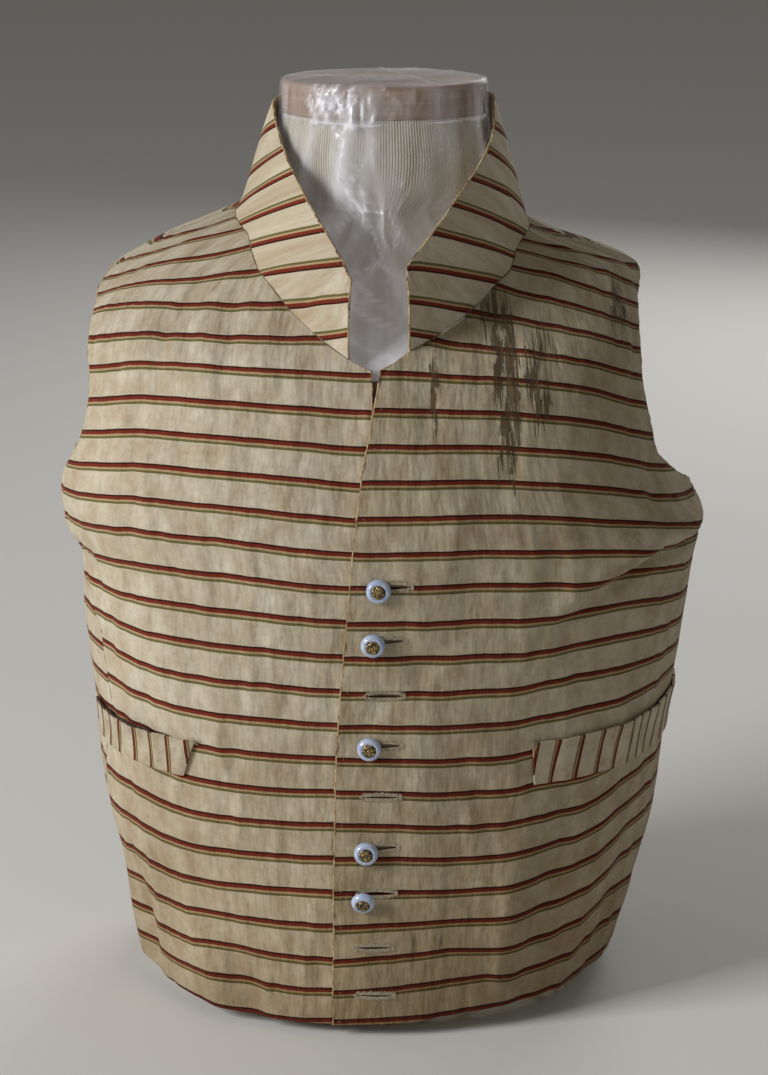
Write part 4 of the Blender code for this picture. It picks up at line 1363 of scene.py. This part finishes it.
low, high = (
    np.where(
        step <= COLLAR_SEAM,
        table_read(COLLAR_STRIPE_COLUMNS, right_half, name, step),
        table_read(COLLAR_STRIPE_COLUMNS, left_half, name, step),
    )
    for name in COLLAR_STRIPE_COLUMNS[1:]
)
number = (1 - rise[..., 0]) * low + rise[..., 0] * high
spans = np.diff(collar_face[COLLAR_STEPS // 2], axis=0, prepend=0)
along = np.cumsum(np.linalg.norm(spans, axis=-1))
collar = bent_grid(
    "standing_collar", collar_face,
    np.stack([along[None, :] + 0 * number, -number * STRIPE_PITCH * MM], axis=-1), turned=True,
)
thicken(collar, CLOTH, [striped_cotton("collar_cotton"), lining])
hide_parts("collar")


# The pocket welts.
# Two bands of the striped cotton, cut with their stripes upright and sewn down at their ends and
# feet. Their upper edges stand off the fronts a little, over the pockets' mouths.
WELT_GAP = 0.5
WELT_STEPS = 84
WELT_ROWS = 20
WELT_TALL = 25
WELT_COLUMNS = (
    "name", "top_angle", "foot_angle", "outer_angle",
    "inner_foot", "outer_foot", "inner_top", "outer_top", "gape",
)
WELTS = (
    ("welt_right", -35, -38.5, -75.5, 155.5, 161, 179, 183, 2.4),
    ("welt_left", 26, 27, 86, 154.5, 164, 181, 192, 1.2),
)
# The angles at which each welt's stripes stand
WELT_STRIPES = {
    "welt_right": (31.6, 36.9, 42.5, 47.5, 52.9, 59.5, 64.1, 69.0, 74.4, 80),
    "welt_left": (26.6, 31.1, 37.4, 43.3, 48.4, 53.0, 56.8, 60.3, 64.6, 70.1, 75.6, 81.5, 87),
}
# How far the stripes lean at the inner and at the outer end, in stripe repeats
WELT_STRIPE_LEANS = {"welt_right": (0.05, -0.75), "welt_left": (0.22, 0.22)}

welt_cotton = striped_cotton("welt_cotton", band=0.85)
welt_faces = {}
for row in WELTS:
    welt = dict(zip(WELT_COLUMNS, row))
    name = welt["name"]
    across = np.linspace(0, 1, WELT_STEPS + 1)[None, :]
    up = np.linspace(0, 1, WELT_ROWS + 1)[:, None]
    inner = welt["foot_angle"] + (welt["top_angle"] - welt["foot_angle"]) * up
    angle = inner + (welt["outer_angle"] - inner) * across
    low = welt["inner_foot"] + (welt["outer_foot"] - welt["inner_foot"]) * across**2
    high = welt["inner_top"] + (welt["outer_top"] - welt["inner_top"]) * across**2
    height = (low + (high - low) * up) * MM
    gape = welt["gape"] * MM * up**2 * np.sin(math.pi * across) ** 0.5
    outwards = fold_depth(angle, height) + (WELT_GAP + CLOTH) * MM + gape
    face = body_point(angle, height) + body_normal(angle, height) * outwards[..., None]
    welt_faces[name] = face
    standing = WELT_STRIPES[name]
    number = np.interp(np.abs(angle), standing, range(len(standing)))
    lean_in, lean_out = WELT_STRIPE_LEANS[name]
    number = number - (lean_in + (lean_out - lean_in) * across) * (up - 0.5)
    piece = bent_grid(
        f"pocket_{name}", face,
        np.stack([0 * number + up * WELT_TALL, number * STRIPE_PITCH], axis=-1) * MM,
        turned=welt["outer_angle"] < 0,
    )
    thicken(piece, CLOTH, [welt_cotton, lining])
    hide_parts(name)


# The buttons.
# Five domed buttons of milky glass round a dark centre with gold flecks, each on a wire shank that
# is sewn to the right front and comes through the left front's buttonhole.
BUTTON_WIDTH = 14.5
BUTTON_CLEARANCE = 0.7
BUTTON_TURNS = 56
SHANK_WIDTH = 1.6
# The button's section from its back edge inwards, as shares of its radius and heights in mm above
# its back: a raised milky ring, then a rough centre that is let into it
BUTTON_RING = (
    (0.86, 0), (1.0, 0.8), (0.995, 1.5), (0.965, 2.35), (0.915, 3.1), (0.85, 3.7), (0.78, 4.1),
    (0.71, 4.3), (0.66, 4.3), (0.63, 4.2), (0.60, 4.15), (0.57, 4.2),
)
BUTTON_CENTRE = (
    (0.54, 4.4), (0.49, 4.65), (0.42, 4.85), (0.34, 5.0), (0.25, 5.1), (0.16, 5.17), (0.07, 5.2),
)
# How far out the rough centre reaches, and how unevenly, and the least height of its faces
CENTRE_EDGE = (0.585, 0.022)
CENTRE_HEIGHT = 3

glass, glass_shader = new_paint(
    "milky_glass", 0.08, Coat_Weight=0.6, Coat_Roughness=0.05, Subsurface_Weight=0.25,
    Subsurface_Scale=0.003,
)
swirl = noise(glass, node(glass, "TexCoord", output=3), 260, 3)
feed(
    glass, glass_shader.inputs["Base Color"],
    ramp(glass, swirl, (0.3, (0.34, 0.44, 0.68)), (0.7, (0.58, 0.64, 0.78))),
)
flecked, flecked_shader = new_paint("flecked_centre", 0.35, Coat_Weight=0.25, Coat_Roughness=0.1)
fleck_place = node(flecked, "TexCoord", output=3)
cells = node(flecked, "TexVoronoi", {"Vector": fleck_place, "Scale": 1800}, output=1)
fleck = ramp(flecked, node(flecked, "SeparateXYZ", {0: cells}), (0.70, 0.0), (0.73, 1.0))
feed(
    flecked, flecked_shader.inputs["Base Color"],
    blend(flecked, fleck, (0.012, 0.007, 0.004), (0.66, 0.45, 0.14)),
)
feed(flecked, flecked_shader.inputs["Metallic"], sums(flecked, "MULTIPLY", fleck, 0.5))
pits = node(flecked, "TexVoronoi", {"Vector": fleck_place, "Scale": 1500})
bumped(flecked, flecked_shader, pits, 0.35 * MM, 0.9)

button_chance = np.random.default_rng(5)
for count, hole in enumerate((hole for hole in holes if hole["buttoned"]), start=1):
    lean = math.radians(hole["lean"])
    edge, shank = BUTTON_WIDTH / 2, SHANK_WIDTH / 2
    seat = CLOTH + LAP_GAP + BUTTON_CLEARANCE + edge * math.sin(lean)
    outline = [(shank, SEAM_GAP), (shank, seat)]
    outline += [(share * edge, seat + rise) for share, rise in (*BUTTON_RING, *BUTTON_CENTRE)]
    button = turned_piece(f"glass_button_{count}", outline, BUTTON_TURNS)
    finish_mesh(button, [glass, flecked], 40)
    for face in button.data.polygons:
        out = math.hypot(face.center[0], face.center[1]) / edge / MM
        inside = out < CENTRE_EDGE[0] + button_chance.normal(0, CENTRE_EDGE[1])
        face.material_index = int(inside and face.center[2] > (seat + CENTRE_HEIGHT) * MM)
    point, normal = front_point(hole["x"] * MM, hole["height"] * MM)
    pitch = math.atan2(-normal[1], normal[2]) + lean
    yaw = math.atan2(normal[0], -normal[1])
    button.location = (0, 0, 0)
    place_in_mesh(button, point + CENTRE, (pitch, 0, yaw))
    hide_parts(f"button_{count}")


# The turned edges and the hand sewing.
# Turned edges worn to thin tan lines, loose fibres along the collar, rows of prick stitches, dark
# lines of painted shade in the seams, knots at the welts' inner ends, and the right pocket's mouth
# as a dark line of painted shadow.
EDGE_ROLL = 0.62
EDGE_DEPTH = 0.55
EDGE_WANDER = 0.3
PRICK_SPACING = 4.6
# How far in from its edge each row of small stitches runs
PRICK_INSET = 3.2
FRONT_INSET = 4
HEM_INSET = 9
WELT_END_INSET = 0.2
PRICK_SIZE = (0.17, 0.10, 0.5)
KNOT_STITCHES = 14
KNOT_THREAD = (0.2, 0.2, 0.9)
# Where the right pocket's mouth shows along its welt as a dark line of painted shadow, as shares of
# the welt's length
MOUTH = (0.3, 0.97)
# Each rolled line's radius and how deep its middle lies, in mm
MOUTH_ROLL = (0.8, 1.3)
COLLAR_SEAM_ROLL = (0.62, 0.4)
SEAM_ROLL = (0.5, 0.5)
FIBRES_A_METRE = 520
FIBRE_SIZE = (0.12, 0.12, 1.0)

worn_edge = mottled(
    "worn_edge", 240,
    ((0.38, (0.10, 0.055, 0.03)), (0.48, (0.40, 0.27, 0.125)), (0.72, (0.62, 0.48, 0.27))),
    bump=0.2, detail=5, roughness=0.65, Sheen_Weight=0.1,
)
# The seams' dark lines are painted shade in their grooves.
seam_groove_shade = mottled(
    "seam_groove_shade", 500, ((0.35, (0.07, 0.045, 0.025)), (0.65, (0.20, 0.145, 0.085))), bump=0.15,
)
# Near black: painted shadow in the pocket's opening along the welt's upper edge.
pocket_shadow_paint = mottled(
    "pocket_mouth_shadow", 300, ((0.35, (0.018, 0.010, 0.007)), (0.65, (0.07, 0.032, 0.02))),
    Roughness=0.95,
)


def face_normals(grid):
    """Outward directions over a grid of points, whichever way its columns run."""
    normal = unit(np.cross(np.gradient(grid, axis=1), np.gradient(grid, axis=0)))
    outwards = np.sum(normal * grid * (1, 1, 0), axis=-1).mean()
    return normal * np.sign(outwards)


def roll_edge(name, line, normals, paint=worn_edge, roll=EDGE_ROLL, depth=EDGE_DEPTH):
    """A thin rolled edge along a line of points, a little uneven."""
    curve = bpy.data.curves.new(name, "CURVE")
    curve.dimensions = "3D"
    curve.bevel_depth = roll * MM
    curve.bevel_resolution = 1
    curve.use_fill_caps = True
    run = curve.splines.new("POLY")
    run.points.add(len(line) - 1)
    for k, (point, out) in enumerate(zip(line, normals)):
        wander = sewing_chance.normal(0, EDGE_WANDER, 3) * MM
        run.points[k].co = (*(point - out * depth * MM + wander * roll + CENTRE), 1)
        run.points[k].radius = sewing_chance.uniform(0.7, 1.3)
    made = bpy.data.objects.new(name, curve)
    bpy.context.scene.collection.objects.link(made)
    pick(made)
    bpy.ops.object.convert(target="MESH")
    made.data.name = name
    finish_mesh(made, [paint], 60)


def read_line(places, travelled, values):
    """A line's values at these distances from its start."""
    return np.stack([np.interp(places, travelled, values[:, k]) for k in range(3)], axis=-1)


def prick_row(name, line, inside, normals, inset=PRICK_INSET):
    """A row of small stitches beside an edge, on the face of the cloth."""
    row = line + unit(inside - line) * inset * MM
    travelled = path_lengths(row)
    spacing = PRICK_SPACING * MM
    places = np.arange(spacing / 2, travelled[-1], spacing)
    points = read_line(places, travelled, row)
    ahead = unit(read_line(places + spacing / 8, travelled, row) - points)
    outs = unit(read_line(places, travelled, normals))
    stitches = [
        (point + out * 0.05 * MM, unit(np.cross(way, out)), way, out, PRICK_SIZE)
        for point, way, out in zip(points, ahead, outs)
    ]
    sew(name, stitch, stitches, thread)


def fray(name, line, inside, normals):
    """Loose fibres that stick out of an edge."""
    outwards = unit(line - inside)
    travelled = path_lengths(line)
    count = int(travelled[-1] * FIBRES_A_METRE)
    fibres = []
    for place in np.sort(sewing_chance.uniform(0, travelled[-1], count)):
        point, out, off = (
            read_line(place, travelled, values) for values in (line, normals, outwards)
        )
        way = unit(off + sewing_chance.normal(0, 0.45, 3))
        right = unit(np.cross(way, out))
        reach = sewing_chance.uniform(0.5, 1.3)
        size = (FIBRE_SIZE[0], FIBRE_SIZE[1], FIBRE_SIZE[2] * reach)
        middle = point - out * 0.6 * MM + way * size[2] * 0.7 * MM
        fibres.append((middle, right, way, np.cross(right, way), size))
    sew(name, stitch, fibres, worn_edge)


left_out, right_out, back_out, collar_out = (
    face_normals(grid) for grid in (left_face, right_face, back_face, collar_face)
)
front_rows = slice(0, first_row + 1)
roll_edge("left_front_edge", left_face[front_rows, 0], left_out[front_rows, 0])
roll_edge("right_front_edge", right_face[front_rows, 0], right_out[front_rows, 0])
collar_line = joined(collar_face[:, 0], collar_face[-1], collar_face[::-1, -1])
collar_line_out = joined(collar_out[:, 0], collar_out[-1], collar_out[::-1, -1])
collar_inside = joined(collar_face[:, 2], collar_face[-3], collar_face[::-1, -3])
roll_edge("collar_edge", collar_line, collar_line_out)
fray("collar_fibres", collar_line, collar_inside, collar_line_out)
prick_row("collar_stitches", collar_face[-1], collar_face[-3], collar_out[-1])
prick_row(
    "left_front_stitches", left_face[front_rows, 0], left_face[front_rows, 2],
    left_out[front_rows, 0], FRONT_INSET,
)
armhole_rows = slice(SIDE_STEPS, None)
for name, grid, out, edge, inside in (
    ("left_armhole", left_face, left_out, -1, -3),
    ("right_armhole", right_face, right_out, -1, -3),
    ("back_right_armhole", back_face, back_out, 0, 2),
    ("back_left_armhole", back_face, back_out, -1, -3),
):
    line, line_out = grid[armhole_rows, edge], out[armhole_rows, edge]
    prick_row(f"{name}_stitches", line, grid[armhole_rows, inside], line_out)
    roll_edge(f"{name}_edge", line, line_out)
for name, grid, out in (("right_hem", right_face, right_out), ("back_hem", back_face, back_out)):
    prick_row(f"{name}_stitches", grid[0], grid[2], out[0], HEM_INSET)
for name, face in welt_faces.items():
    out = face_normals(face)
    end_row = face[:, 0] + (face[:, 3] - face[:, 0]) * 0.3
    prick_row(f"{name}_end_stitches", end_row, face[:, 4], out[:, 0], WELT_END_INSET)
    corner, corner_out = face[-1, 0], out[-1, 0]
    right = np.cross(corner_out, (0, 0, 1))
    knot = []
    for _ in range(KNOT_STITCHES):
        turn = sewing_chance.uniform(0, math.pi)
        along, up = turned_by(right, np.array((0, 0, 1.0)), turn)
        aside = right * sewing_chance.normal(0, 0.7)
        above = np.array((0, 0, sewing_chance.normal(-0.4, 0.9)))
        place = corner + (aside + above + corner_out * 0.3) * MM
        knot.append((place, along, up, corner_out, KNOT_THREAD))
    sew(f"{name}_knot", stitch, knot, thread)
    if name == "welt_right":
        mouth = slice(*(int(share * WELT_STEPS) for share in MOUTH))
        lip = face[-1, mouth] + (face[-1, mouth] - face[-2, mouth]) * 0.5
        roll_edge("pocket_mouth_shadow", lip, out[-1, mouth], pocket_shadow_paint, *MOUTH_ROLL)

# Dark rolls sunk a little into the seams, painted with the shade of the seam grooves.
roll_edge("collar_seam", collar_face[0], collar_out[0], seam_groove_shade, *COLLAR_SEAM_ROLL)
seam_lines = (
    ("right_side_seam", right_face[: SIDE_STEPS + 1, -1], right_out[: SIDE_STEPS + 1, -1]),
    ("left_side_seam", left_face[: SIDE_STEPS + 1, -1], left_out[: SIDE_STEPS + 1, -1]),
    ("right_shoulder_seam", right_face[-1], right_out[-1]),
    ("left_shoulder_seam", left_face[-1], left_out[-1]),
    ("collar_back_seam", collar_face[:, COLLAR_SEAM * FINE], collar_out[:, COLLAR_SEAM * FINE]),
)
for name, line, out in seam_lines:
    roll_edge(name, line, out, seam_groove_shade, *SEAM_ROLL)
bpy.data.objects.remove(stitch, do_unlink=True)
